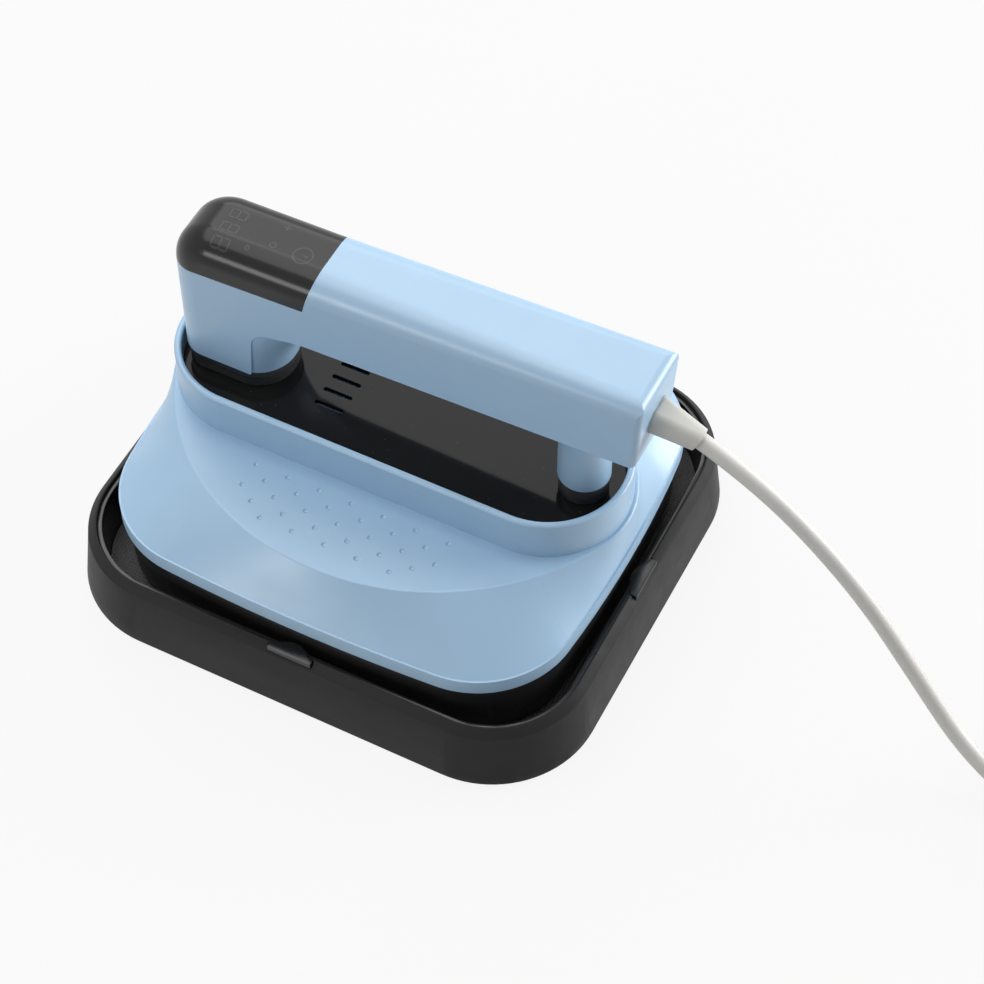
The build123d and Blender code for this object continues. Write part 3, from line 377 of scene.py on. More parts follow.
@dataclass(frozen=True)
class Polished(Moulded):
    """Gloss plastic with hairline wiping marks and a few specks of dust."""

    roughness: float = 0.12
    relief: float = 0.0004 * MM
    mottle: float = 0.1
    clouds: float = 25 * MM
    rubbed: float = 0.08
    dust: float = 0.35            # how much a speck hides
    dust_colour: Colour = (0.3, 0.3, 0.3)
    speck_gap: float = 4.5 * MM
    speck_span: Span = (0.03, 0.05)
    hair: float = 0.5 * MM        # width of a wiping mark
    hair_shape: Point = (0.02, 1.0, 1.0)
    hair_turn: float = 0.15
    smears: float = 16 * MM
    smear_share: float = 0.6
    smear_span: Span = (0.55, 1.05)

    def tint(self, shader: Shader) -> None:
        """Lay specks of dust over the plain colour.

        Args:
            shader: Node tree of the material.
        """
        base = shader.drift(shader.noise(self.clouds), self.colour, self.mottle)
        specks = shader.spread(shader.cells(self.speck_gap), self.speck_span, self.dust, 0.0)
        shader.paint(shader.over(specks, base, self.dust_colour))

    def gloss(self, shader: Shader) -> None:
        """Draw hairline wiping marks over wide smears.

        Args:
            shader: Node tree of the material.
        """
        along = shader.stretched(self.hair_shape, self.hair_turn)
        hairs = shader.noise(self.hair, 2.0, along)
        marks = shader.sums(hairs, shader.noise(self.smears, 3.0), self.smear_share)
        shader.roughen(marks, self.smear_span, self.roughness, self.rubbed)


@dataclass(frozen=True)
class Drawn(Moulded):
    """Metal with brush or turning lines that run one way."""

    roughness: float = 0.3
    relief: float = 0.0015 * MM
    grain: float = 0.5 * MM
    mottle: float = 0.08
    line: Point = (0.03, 1.0, 1.0)
    line_width: float = 0.8 * MM
    tarnish: Colour = (0.2, 0.17, 0.14)
    tarnished: float = 0.15       # how much the tarnish hides
    patches: float = 7 * MM
    patch_span: Span = (0.45, 0.75)

    def make(self, name: str) -> bpy.types.Material:
        """Make the material and turn it to metal.

        Args:
            name: Name of the material.

        Returns:
            The material.
        """
        made = super().make(name)
        made.node_tree.nodes["Principled BSDF"].inputs["Metallic"].default_value = 1.0
        return made

    def tint(self, shader: Shader) -> None:
        """Lay a thin tarnish over the bare metal in patches.

        Args:
            shader: Node tree of the material.
        """
        lines = shader.noise(self.line_width, 2.0, shader.stretched(self.line))
        bare = shader.drift(lines, self.colour, self.mottle)
        clouds = shader.noise(self.patches, 4.0)
        patches = shader.spread(clouds, self.patch_span, 0.0, self.tarnished)
        shader.paint(shader.over(patches, bare, self.tarnish))

    def raise_grain(self, shader: Shader) -> None:
        """Score the lines into the surface."""
        lines = shader.noise(self.grain, 3.0, shader.stretched(self.line))
        shader.emboss(lines, self.relief)


@dataclass(frozen=True)
class Speckled(Moulded):
    """Non-stick coat sprayed on metal, with fine light and dark speckles."""

    roughness: float = 0.34
    relief: float = 0.006 * MM
    mottle: float = 0.08
    clouds: float = 12 * MM
    fleck: Colour = (0.55, 0.55, 0.56)
    fleck_gap: float = 1.1 * MM
    fleck_span: Span = (0.12, 0.26)
    fleck_share: float = 0.8

    def tint(self, shader: Shader) -> None:
        """Scatter flecks through the coat.

        Args:
            shader: Node tree of the material.
        """
        base = shader.drift(shader.noise(self.clouds, 3.0), self.colour, self.mottle)
        points = shader.cells(self.fleck_gap)
        flecks = shader.spread(points, self.fleck_span, self.fleck_share, 0.0)
        shader.paint(shader.over(flecks, base, self.fleck))


@dataclass(frozen=True)
class Woven(Moulded):
    """Glass cloth under a thin silicone coat, woven square."""

    pitch: float = 1.6 * MM
    depth: float = 0.12 * MM
    wobble: float = 0.3
    fuzz: float = 0.2 * MM
    fuzz_depth: float = 0.01 * MM

    def raise_grain(self, shader: Shader) -> None:
        """Cross warp and weft ridges, with a fine fuzz of fibre.

        Args:
            shader: Node tree of the material.
        """
        for axis in ("X", "Y"):
            shader.emboss(shader.waves(self.pitch, axis, self.wobble), self.depth)
        shader.emboss(shader.noise(self.fuzz), self.fuzz_depth)


@dataclass(frozen=True)
class Fibrous(Moulded):
    """Loose mineral fibre pressed into a blanket."""

    clumps: float = 4 * MM
    depth: float = 0.5 * MM
    strands: float = 0.6 * MM
    strand_shape: Point = (0.15, 1.0, 1.0)
    strand_turn: float = 0.6

    def raise_grain(self, shader: Shader) -> None:
        """Pile clumps and strands on one another.

        Args:
            shader: Node tree of the material.
        """
        shader.emboss(shader.noise(self.clumps, 5.0), self.depth)
        lie = shader.stretched(self.strand_shape, self.strand_turn)
        shader.emboss(shader.noise(self.strands, 4.0, lie), self.depth / 4)


@dataclass(frozen=True)
class Laminate(Moulded):
    """Circuit board: lacquer over copper runs."""

    mottle: float = 0.1
    clouds: float = 20 * MM
    run: Colour = (0.1, 0.38, 0.2)
    run_share: float = 0.8
    run_height: float = 0.03 * MM
    run_span: Span = (0.62, 0.7)
    pitch: float = 2.2 * MM
    wobble: float = 1.5

    def tint(self, shader: Shader) -> None:
        """Show the copper runs through the lacquer.

        Args:
            shader: Node tree of the material.
        """
        base = shader.drift(shader.noise(self.clouds), self.colour, self.mottle)
        ridges = shader.waves(self.pitch, "Y", self.wobble)
        runs = shader.spread(ridges, self.run_span, 0.0, self.run_share)
        shader.paint(shader.over(runs, base, self.run))
        shader.emboss(runs, self.run_height)


@dataclass(frozen=True)
class Jacket(Moulded):
    """Soft extruded jacket of a cord, with drag lines and slight handling dirt."""

    clouds: float = 14 * MM
    lighter: float = 0.02
    dirt: Colour = (0.5, 0.48, 0.43)
    dirty: float = 0.14           # how much the dirt hides
    patches: float = 5 * MM
    patch_span: Span = (0.52, 0.78)

    def tint(self, shader: Shader) -> None:
        """Darken patches that have been handled or dragged.

        Args:
            shader: Node tree of the material.
        """
        dark, light = shaded(self.colour, -self.mottle), shaded(self.colour, self.lighter)
        base = shader.blend(shader.noise(self.clouds, 4.0), dark, light)
        clouds = shader.noise(self.patches, 5.0)
        patches = shader.spread(clouds, self.patch_span, 0.0, self.dirty)
        shader.paint(shader.over(patches, base, self.dirt))


BLUE = (0.345, 0.52, 0.70)
LIGHT_PVC = (0.64, 0.63, 0.60)

PRINT = Polished((0.04, 0.04, 0.038), roughness=0.2, rubbed=0.02, dust=0.0, specular=0.3)
STRAP = Woven((0.02, 0.02, 0.021), roughness=0.7, pitch=0.9 * MM, depth=0.05 * MM)

FINISHES: dict[Slot, Moulded] = {
    Slot.TRAY: Moulded(
        (0.024, 0.024, 0.024), roughness=0.5, grain=0.6 * MM, relief=0.02 * MM, specular=0.1
    ),
    Slot.LINER: Moulded((0.010, 0.010, 0.011), roughness=0.3, grain=0.8 * MM),
    Slot.PAD: Woven((0.06, 0.06, 0.062), roughness=0.6),
    Slot.FOOT: Moulded((0.02, 0.02, 0.02), roughness=0.75, relief=0.03 * MM),
    Slot.PLATEN: Speckled((0.12, 0.12, 0.125)),
    Slot.SHEATH: Drawn((0.32, 0.30, 0.29), roughness=0.42, tarnished=0.6),
    Slot.SHIELD: Drawn((0.62, 0.63, 0.64), roughness=0.32),
    Slot.FIBRE: Fibrous((0.78, 0.76, 0.70), roughness=0.95, mottle=0.08),
    Slot.CUTOUT: Moulded((0.08, 0.08, 0.085), roughness=0.35),
    Slot.BRASS: Drawn((0.75, 0.57, 0.28), roughness=0.28, line=(1.0, 1.0, 0.05)),
    Slot.SCREW: Drawn((0.55, 0.56, 0.58), roughness=0.3, line=(1.0, 1.0, 0.1)),
    Slot.SKIRT: Moulded((0.014, 0.014, 0.015), roughness=0.38),
    Slot.HOUSING: Moulded(BLUE, roughness=0.34, relief=0.003 * MM, mottle=0.015, specular=0.6),
    Slot.HANDLE: Moulded(BLUE, roughness=0.32, relief=0.003 * MM, mottle=0.015, specular=0.65),
    Slot.DECK: Polished((0.011, 0.011, 0.011), roughness=0.07, rubbed=0.03, specular=0.14),
    Slot.BLACK: Moulded((0.05, 0.05, 0.052), roughness=0.3),
    Slot.CAP: Polished((0.006, 0.006, 0.006), roughness=0.2, rubbed=0.02, dust=0.03, specular=0.3),
    Slot.BOARD: Laminate((0.03, 0.2, 0.09), roughness=0.3),
    Slot.RELAY: Moulded((0.03, 0.05, 0.12), roughness=0.42),
    Slot.FILM: Moulded((0.72, 0.52, 0.07), roughness=0.3),
    Slot.BLOCK: Moulded((0.08, 0.34, 0.18), roughness=0.4),
    Slot.MODULE: Moulded((0.03, 0.03, 0.03), roughness=0.45),
    Slot.LEAD: Jacket((0.72, 0.70, 0.66), roughness=0.55),
    Slot.JACKET: Jacket(LIGHT_PVC, roughness=0.42, grain=0.5 * MM, relief=0.004 * MM),
    Slot.RELIEF: Jacket((0.58, 0.57, 0.53), roughness=0.46, grain=0.5 * MM, relief=0.006 * MM),
    Slot.PLUG: Jacket(LIGHT_PVC, roughness=0.4, grain=0.5 * MM, relief=0.008 * MM),
}


class Wardrobe:
    """Materials of the finishes, made once and shared by the pieces."""

    def __init__(self) -> None:
        """Start with no material made."""
        self.made: dict[Slot, bpy.types.Material] = {}

    def wear(self, piece: bpy.types.Object, name: str, finish: Moulded) -> None:
        """Give a piece a finish of its own, under a name."""
        piece.data.materials.clear()
        piece.data.materials.append(finish.make(name))

    def dress(self, piece: bpy.types.Object, slot: Slot) -> None:
        """Give a piece the finish of a slot, in place of what it had.

        Args:
            piece: The piece.
            slot: Slot whose material it gets, made at its first use.
        """
        if slot not in self.made:
            self.made[slot] = FINISHES[slot].make(slot.value)
        piece.data.materials.clear()
        piece.data.materials.append(self.made[slot])


# ----------------------------------------------------------------- mesh tools
def deselect() -> None:
    """Deselect every object, so that a new primitive is alone."""
    for other in bpy.context.selected_objects:
        other.select_set(False)


def make_active(piece: bpy.types.Object) -> None:
    """Select one object alone and make it the active one.

    Args:
        piece: The object.
    """
    deselect()
    piece.select_set(True)
    bpy.context.view_layer.objects.active = piece


def link_mesh(name: str, mesh: bpy.types.Mesh) -> bpy.types.Object:
    """Put a mesh in the scene as an object at the origin.

    Args:
        name: Name of the object.
        mesh: Its mesh.

    Returns:
        The object.
    """
    piece = bpy.data.objects.new(name, mesh)
    bpy.context.scene.collection.objects.link(piece)
    return piece


def pick_faces(piece: bpy.types.Object, wanted: Callable[[Vector, Vector], bool]) -> None:
    """Select a mesh's faces by their centre and normal, in face mode.

    Args:
        piece: The mesh object, in object mode.
        wanted: Test of a face's centre and normal.
    """
    bpy.context.tool_settings.mesh_select_mode = (False, False, True)
    for part in (*piece.data.vertices, *piece.data.edges):
        part.select = False
    for face in piece.data.polygons:
        face.select = wanted(face.center, face.normal)


def apply_modifier(piece: bpy.types.Object, kind: str, **settings: object) -> None:
    """Add a modifier, set it and apply it.

    Args:
        piece: The mesh object.
        kind: Blender's name for the modifier type.
        settings: Properties of the modifier by name.
    """
    make_active(piece)
    modifier = piece.modifiers.new(kind.lower(), kind)
    for name, value in settings.items():
        setattr(modifier, name, value)
    bpy.ops.object.modifier_apply(modifier=modifier.name)


def soften(piece: bpy.types.Object, width: float) -> None:
    """Round a piece's sharp edges a little, and shade it.

    Args:
        piece: The mesh object.
        width: Width of the round, in metres.
    """
    angle = {"limit_method": "ANGLE", "angle_limit": SHARP}
    apply_modifier(piece, "BEVEL", width=width, segments=2, **angle)
    bpy.ops.object.shade_smooth_by_angle(angle=SMOOTH)


def settle(piece: bpy.types.Object) -> None:
    """Move a piece's place, turn and scale into its mesh, and shade it.

    Args:
        piece: The mesh object.
    """
    make_active(piece)
    bpy.ops.object.transform_apply(location=True, rotation=True, scale=True)
    bpy.ops.object.shade_smooth_by_angle(angle=SMOOTH)


def join(name: str, parts: list[bpy.types.Object]) -> bpy.types.Object:
    """Join parts into one piece.

    Args:
        name: Name of the piece.
        parts: Mesh objects, at least one.

    Returns:
        The joined piece.
    """
    make_active(parts[0])
    for part in parts:
        part.select_set(True)
    bpy.ops.object.join()
    parts[0].name = name
    return parts[0]


def groove(piece: bpy.types.Object, axis: Point, low: float, high: float, depth: float) -> None:
    """Cut a shallow groove round a piece whose outline is convex.

    Args:
        piece: The mesh object.
        axis: Unit direction that the groove runs round.
        low: Where the groove starts along the axis, in metres.
        high: Where it ends.
        depth: How deep it is.
    """
    along = Vector(axis)
    make_active(piece)
    for level in (low, high):
        bpy.ops.object.mode_set(mode="EDIT")
        bpy.ops.mesh.select_all(action="SELECT")
        bpy.ops.mesh.bisect(plane_co=along * level, plane_no=along)
        bpy.ops.object.mode_set(mode="OBJECT")
    corners = [corner.co.copy() for corner in piece.data.vertices]

    def outer(middle: Vector, normal: Vector) -> bool:
        """Whether a face lies between the two cuts and on the outline.

        Args:
            middle: Centre of the face.
            normal: Its normal.

        Returns:
            True if it does.
        """
        if not low < middle.dot(along) < high:
            return False
        return all((corner - middle).dot(normal) < OUTERMOST for corner in corners)

    pick_faces(piece, outer)
    bpy.ops.object.mode_set(mode="EDIT")
    bpy.ops.mesh.extrude_region_shrink_fatten(TRANSFORM_OT_shrink_fatten={"value": -depth})
    bpy.ops.object.mode_set(mode="OBJECT")
    bpy.ops.object.shade_smooth_by_angle(angle=SMOOTH)


def copy_to(piece: bpy.types.Object, shift: Point) -> bpy.types.Object:
    """Copy a piece with its own mesh.

    Args:
        piece: The piece.
        shift: How far the copy is moved from it.

    Returns:
        The copy.
    """
    made = link_mesh(piece.name, piece.data.copy())
    made.location = piece.location + Vector(shift)
    return made


def softened_copy(node: str, edge: float) -> bpy.types.Object:
    """Welded copy of a CAD node whose sharp edges get a small round.

    Args:
        node: Name of the CAD node.
        edge: Width of the round, in metres.

    Returns:
        The copy, which stands for the node.
    """
    piece = link_mesh(f"{node}_moulding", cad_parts[node].data.copy())
    make_active(piece)
    bpy.ops.mesh.customdata_custom_splitnormals_clear()
    bpy.ops.object.mode_set(mode="EDIT")
    bpy.ops.mesh.select_all(action="SELECT")
    bpy.ops.mesh.remove_doubles(threshold=WELD)
    bpy.ops.mesh.dissolve_limited(angle_limit=FLAT)
    bpy.ops.object.mode_set(mode="OBJECT")
    soften(piece, edge)
    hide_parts(node)
    return piece


# --------------------------------------------------------------- sub-assemblies
@dataclass
class Assembly:
    """Pieces that ride on one body: CAD nodes with a finish, and new pieces."""

    wardrobe: Wardrobe
    body: Body = Body.PRESS
    nodes: dict[str, Slot] = field(default_factory=dict)
    edges: dict[str, float] = field(default_factory=dict)

    def build(self) -> list[bpy.types.Object]:
        """Make the assembly's pieces and dress them.

        Returns:
            The pieces that show, new ones and CAD nodes.
        """
        shown = []
        for node, slot in self.nodes.items():
            if node in self.edges:
                piece = softened_copy(node, self.edges[node])
                self.take(piece, slot)
            else:
                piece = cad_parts[node]
                self.wardrobe.dress(piece, slot)
            shown.append(piece)
        return shown + self.build_details()

    def build_details(self) -> list[bpy.types.Object]:
        """Make the pieces that the CAD nodes lack; none unless a class adds them."""
        return []

    def take(self, piece: bpy.types.Object, slot: Slot) -> None:
        """Dress a new piece in a slot's finish and let it ride on the body.

        Args:
            piece: The new piece.
            slot: Slot of its finish.
        """
        self.wardrobe.dress(piece, slot)
        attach(piece, self.body.value)


@dataclass
class StorageTray(Assembly):
    """Tray with its liner, pad and feet."""

    body: Body = Body.TRAY
    nodes: dict[str, Slot] = field(
        default_factory=lambda: {
            "tray_shell": Slot.TRAY,
            "tray_liner": Slot.LINER,
            "heat_pad": Slot.PAD,
            "tray_feet": Slot.FOOT,
        }
    )
    edges: dict[str, float] = field(
        default_factory=lambda: {"tray_shell": 0.4 * MM, "tray_liner": 0.3 * MM}
    )


@dataclass
class HeatingStack(Assembly):
    """Platen with its element, sensor, cut-out, shield and blanket."""

    nodes: dict[str, Slot] = field(
        default_factory=lambda: {
            "heat_plate": Slot.PLATEN,
            "heating_element": Slot.SHEATH,
            "heat_shield": Slot.SHIELD,
            "insulation_blanket": Slot.FIBRE,
            "thermal_cutout": Slot.CUTOUT,
            "temperature_sensor": Slot.BRASS,
            "plate_standoffs": Slot.SCREW,
            "plate_screws": Slot.SCREW,
        }
    )


@dataclass
class Housing(Assembly):
    """Skirt, blue housing, black deck and the feet under the handle."""

    nodes: dict[str, Slot] = field(
        default_factory=lambda: {
            "lower_skirt": Slot.SKIRT,
            "skirt_screws": Slot.SCREW,
            "housing_shell": Slot.HOUSING,
            "deck_plate": Slot.DECK,
            "leg_foot": Slot.BLACK,
            "post_foot": Slot.BLACK,
            "handle_screws": Slot.SCREW,
        }
    )
    edges: dict[str, float] = field(
        default_factory=lambda: {
            "lower_skirt": 0.3 * MM,
            "leg_foot": 0.5 * MM,
            "post_foot": 0.5 * MM,
        }
    )
    foot_groove: tuple[float, float] = (88.9 * MM, 89.5 * MM)
    groove_depth: float = 0.45 * MM

    def build_details(self) -> list[bpy.types.Object]:
        """Part the leg's foot in two tiers by a groove.

        Returns:
            No new piece.
        """
        foot = bpy.data.objects["leg_foot_moulding"]
        groove(foot, (0.0, 0.0, 1.0), *self.foot_groove, self.groove_depth)
        return []


@dataclass
class Electronics(Assembly):
    """Boards and their components inside the handle."""

    nodes: dict[str, Slot] = field(
        default_factory=lambda: {
            "display_board": Slot.BOARD,
            "display_screws": Slot.SCREW,
            "led_display": Slot.MODULE,
            "touch_springs": Slot.BRASS,
            "power_board": Slot.BOARD,
            "power_relay": Slot.RELAY,
            "filter_capacitor": Slot.FILM,
            "terminal_block": Slot.BLOCK,
            "heater_leads": Slot.LEAD,
        }
    )


@dataclass
class Handle(Assembly):
    """Handle shells, display cap and the faint marks under the cap's gloss."""

    nodes: dict[str, Slot] = field(
        default_factory=lambda: {
            "handle_shell": Slot.HANDLE,
            "handle_underside": Slot.HANDLE,
            "cover_screws": Slot.SCREW,
            "display_cap": Slot.CAP,
        }
    )
    digit_x: float = -77.0 * MM
    digit_rows: tuple[float, ...] = (3.6 * MM, -4.4 * MM, -12.4 * MM)
    digit_height: float = 8.4 * MM
    digit_width: float = 5.2 * MM
    stroke: float = 0.7 * MM
    stroke_gap: float = 0.3 * MM
    power_ring: Point = (-41.5 * MM, -4.9 * MM, 4.6 * MM)   # middle and radius
    small_rings: tuple[Point, ...] = (
        (-65 * MM, -10.6 * MM, 1.2 * MM),
        (-55.6 * MM, -5.2 * MM, 1.7 * MM),
    )
    plus_sign: tuple[float, float] = (-54.8 * MM, 5.9 * MM)
    plus_size: float = 3.2 * MM
    bar_cuts: int = 5             # so that a bar follows the cap's curve
    ring_sides: int = 36
    print_height: float = 0.176   # over the cap, where the marks are drawn flat
    print_sunk: float = 0.02 * MM
    print_thickness: float = 0.045 * MM

    def bar(self, x: float, y: float, length: float, width: float) -> bpy.types.Object:
        """Draw a flat bar above the cap.

        Args:
            x: Middle of the bar along the handle.
            y: Middle of the bar across the handle.
            length: Its size along the handle.
            width: Its size across the handle.

        Returns:
            The bar.
        """
        deselect()
        bpy.ops.mesh.primitive_plane_add(size=1.0, location=(x, y, self.print_height))
        piece = bpy.context.object
        piece.scale = (length, width, 1.0)
        bpy.ops.object.transform_apply(location=False, rotation=False, scale=True)
        bpy.ops.object.mode_set(mode="EDIT")
        bpy.ops.mesh.subdivide(number_cuts=self.bar_cuts)
        bpy.ops.object.mode_set(mode="OBJECT")
        return piece

    def ring(self, x: float, y: float, radius: float) -> bpy.types.Object:
        """Draw a flat ring above the cap.

        Args:
            x: Middle of the ring along the handle.
            y: Middle of the ring across the handle.
            radius: Its outer radius.

        Returns:
            The ring.
        """
        deselect()
        bpy.ops.mesh.primitive_circle_add(
            vertices=self.ring_sides,
            radius=radius,
            fill_type="NGON",
            location=(x, y, self.print_height),
        )
        bpy.ops.object.mode_set(mode="EDIT")
        bpy.ops.mesh.select_all(action="SELECT")
        bpy.ops.mesh.inset(thickness=self.stroke)
        bpy.ops.mesh.delete(type="FACE")
        bpy.ops.object.mode_set(mode="OBJECT")
        return bpy.context.object

    def digit(self) -> bpy.types.Object:
        """Draw a seven-segment figure with all its bars, read along -Y.

        Returns:
            The figure, in the first row.
        """
        row = self.digit_rows[0]
        reach = self.digit_height - self.stroke
        upright = self.digit_height / 2 - self.stroke - 2 * self.stroke_gap
        across = self.digit_width - 2 * self.stroke_gap
        side = (self.digit_width - self.stroke) / 2
        parts = []
        for share in (-0.5, 0.0, 0.5):
            x = self.digit_x + share * reach
            parts.append(self.bar(x, row, self.stroke, across))
        for share in (-0.25, 0.25):
            x = self.digit_x + share * reach
            for edge in (-side, side):
                parts.append(self.bar(x, row + edge, upright, self.stroke))
        return join("display_marks", parts)

    def figures(self) -> list[bpy.types.Object]:
        """Draw the figures of the display.

        Returns:
            One figure for each row.
        """
        first = self.digit()
        rows = self.digit_rows[1:]
        return [first] + [copy_to(first, (0.0, row - self.digit_rows[0], 0.0)) for row in rows]

    def signs(self) -> list[bpy.types.Object]:
        """Draw the power ring with its bar, the small rings and the plus sign.

        Returns:
            The rings and bars.
        """
        x, y, radius = self.power_ring
        parts = [self.ring(x, y, radius), self.bar(x + radius / 4, y, radius / 2, self.stroke)]
        parts += [self.ring(*small) for small in self.small_rings]
        x, y = self.plus_sign
        parts.append(self.bar(x, y, self.plus_size, self.stroke))
        arm = (self.plus_size - self.stroke) / 2
        reach = (self.plus_size - self.stroke) / 4 + self.stroke / 2
        return parts + [self.bar(x, y + side * reach, self.stroke, arm) for side in (-1, 1)]

    def build_details(self) -> list[bpy.types.Object]:
        """Print the figures and signs on the cap, faint under its gloss.

        Returns:
            The marks, as one piece.
        """
        marks = join("display_marks", self.figures() + self.signs())
        settle(marks)
        apply_modifier(
            marks,
            "SHRINKWRAP",
            target=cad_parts["display_cap"],
            wrap_method="PROJECT",
            use_project_z=True,
            use_negative_direction=True,
            use_positive_direction=False,
            offset=-self.print_sunk,
        )
        apply_modifier(marks, "SOLIDIFY", thickness=self.print_thickness, offset=1.0)
        bpy.ops.object.shade_smooth_by_angle(angle=SMOOTH)
        self.wardrobe.wear(marks, "display_print", PRINT)
        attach(marks, self.body.value)
        return [marks]


@dataclass
class MainsCord(Assembly):
    """Cord from the gland to its plug, most of it put away as a neat coil."""

    nodes: dict[str, Slot] = field(
        default_factory=lambda: {
            "cord_clamp": Slot.BLACK,
            "clamp_screws": Slot.SCREW,
            "inner_cord": Slot.JACKET,
            "strain_relief": Slot.RELIEF,
        }
    )
    diameter: float = 7.6 * MM
    length: float = 1.55
    round_steps: int = 5          # fineness round the cord
    line_steps: int = 5           # and along it, from point to point
    route: tuple[Point, ...] = (
        (0.1384, 0.0, 0.1446),
        (0.158, 0.0, 0.1352),
        (0.186, 0.0, 0.1155),
        (0.218, 0.0003, 0.083),
        (0.246, -0.0015, 0.047),
        (0.272, -0.006, 0.018),
        (0.300, -0.0115, 0.0038),
        (0.328, -0.0115, 0.0038),
    )
    tail: tuple[Point, ...] = ((0.3978, 0.046, 0.0114), (0.3978, 0.0623, 0.0114))
    lift_start: Point = (0.15, 0.0, 0.14)
    lift_end: Point = (0.30, -0.0115, 0.0038)
    coil_middle: tuple[float, float] = (0.356, 0.0303)
    coil_radius: float = 0.038
    coil_columns: int = 2
    coil_layers: int = 3
    coil_lays: tuple[tuple[int, int], ...] = ((1, 0), (0, 0), (0, 1), (0, 2), (1, 2), (1, 1))
    coil_start: float = -90.0     # angles along the turns are in degrees
    coil_end: float = 1800.0
    point_angle: float = 15.0
    first_step: float = 205.0     # where the first turn steps to the next lay
    step_span: float = 30.0       # how long a step takes
    pull_in: float = 0.9915       # the spline runs this much inside its points
    tie_angle: float = -45.0      # where the tie holds the coil
    tie_width: float = 12 * MM
    tie_thickness: float = 0.8 * MM
    tie_corner: float = 4.4 * MM
    tie_corner_steps: int = 6
    tie_edge: float = 0.2 * MM
    boot_start: Point = (0.3978, 0.0632, 0.0114)
    boot_radius: float = 5.9 * MM
    boot_sides: int = 28
    boot_root: Step = (2.2 * MM, 0.97)
    boot_neck: tuple[Step, ...] = ((0.1 * MM, 0.84), (1.1 * MM, 1.0))
    boot_ribs: tuple[tuple[Step, ...], ...] = (
        ((0.1 * MM, 1.16), (1.7 * MM, 0.96)),
        ((0.1 * MM, 1.16), (1.7 * MM, 0.96)),
        ((0.1 * MM, 1.14), (1.7 * MM, 0.95)),
    )
    boot_tip: Step = (0.3 * MM, 0.9)
    plug_edge: float = 0.8 * MM
    grip_grooves: tuple[float, ...] = (80 * MM, 83.5 * MM, 87 * MM, 90.5 * MM)
    grip_width: float = 1.3 * MM
    grip_depth: float = 0.6 * MM

    def lay_at(self, angle: float) -> tuple[float, float]:
        """Where the cord lies in the coil's section at an angle along its turns.

        Args:
            angle: Angle along the turns, in degrees.

        Returns:
            Radius and height of the cord's middle.
        """
        column, layer = self.coil_lays[0]
        for step, (next_column, next_layer) in enumerate(self.coil_lays[1:]):
            start = self.first_step + step * (360.0 - self.step_span)
            done = min(1.0, max(0.0, (angle - start) / self.step_span))
            eased = done * done * (3.0 - 2.0 * done)
            column += (next_column - self.coil_lays[step][0]) * eased
            layer += (next_layer - self.coil_lays[step][1]) * eased
        radius = self.coil_radius + (column - (self.coil_columns - 1) / 2) * self.diameter
        return radius, (layer + 0.5) * self.diameter

    def control_points(self) -> list[Point]:
        """Control points of the whole cord, from the gland to the plug.

        Returns:
            The points of its route, its coil and its tail.
        """
        points = list(self.route)
        steps = round((self.coil_end - self.coil_start) / self.point_angle)
        for step in range(steps + 1):
            angle = self.coil_start + step * self.point_angle
            radius, height = self.lay_at(angle)
            reach = radius / self.pull_in
            turn = math.radians(angle)
            x = self.coil_middle[0] + reach * math.cos(turn)
            y = self.coil_middle[1] + reach * math.sin(turn)
            points.append((x, y, height))
        return points + list(self.tail)

    def spline(self, name: str, bevel: float) -> bpy.types.Mesh:
        """Mesh of the cord's smooth line, or of a round tube along it.

        Args:
            name: Name of the mesh.
            bevel: Radius of the tube, or zero for the line alone.

        Returns:
            The mesh.
        """
        curve = bpy.data.curves.new(name, "CURVE")
        curve.dimensions = "3D"
        curve.resolution_u = self.line_steps
        curve.bevel_depth = bevel
        curve.bevel_resolution = self.round_steps
        curve.use_fill_caps = True
        points = self.control_points()
        line = curve.splines.new("NURBS")
        line.points.add(len(points) - 1)
        for point, place in zip(line.points, points):
            point.co = (*place, 1.0)
        line.order_u = 3
        line.use_endpoint_u = True
        holder = bpy.data.objects.new(name, curve)
        bpy.context.scene.collection.objects.link(holder)
        bpy.context.view_layer.update()
        mesh = bpy.data.meshes.new_from_object(holder)
        bpy.data.objects.remove(holder)
        return mesh

    def plug(self) -> bpy.types.Object:
        """Plug's body with grooves for the fingers.

        Returns:
            The plug's body.
        """
        body = softened_copy("plug_body", self.plug_edge)
        for start in self.grip_grooves:
            groove(body, (0.0, 1.0, 0.0), start, start + self.grip_width, self.grip_depth)
        self.wardrobe.dress(body, Slot.PLUG)
        return body

    def boot(self) -> bpy.types.Object:
        """Ribbed sleeve where the cord enters its plug.

        Returns:
            The sleeve.
        """
        deselect()
        bpy.ops.mesh.primitive_circle_add(
            vertices=self.boot_sides,
            radius=self.boot_radius,
            fill_type="NGON",
            location=self.boot_start,
            rotation=(QUARTER, 0.0, 0.0),
        )
        sleeve = bpy.context.object
        sleeve.name = "plug_boot"
        settle(sleeve)
        steps = [self.boot_root]
        for rib in self.boot_ribs:
            steps += [*self.boot_neck, *rib]
        steps.append(self.boot_tip)
        bpy.ops.object.mode_set(mode="EDIT")
        bpy.ops.mesh.select_all(action="SELECT")
        for advance, scale in steps:
            move = {"value": (0.0, -advance, 0.0)}
            bpy.ops.mesh.extrude_region_move(TRANSFORM_OT_translate=move)
            bpy.ops.transform.resize(value=(scale, 1.0, scale))
        bpy.ops.mesh.select_all(action="SELECT")
        bpy.ops.mesh.fill_holes(sides=0)
        bpy.ops.mesh.normals_make_consistent(inside=False)
        bpy.ops.object.mode_set(mode="OBJECT")
        bpy.ops.object.shade_smooth_by_angle(angle=SMOOTH)
        self.wardrobe.dress(sleeve, Slot.PLUG)
        return sleeve

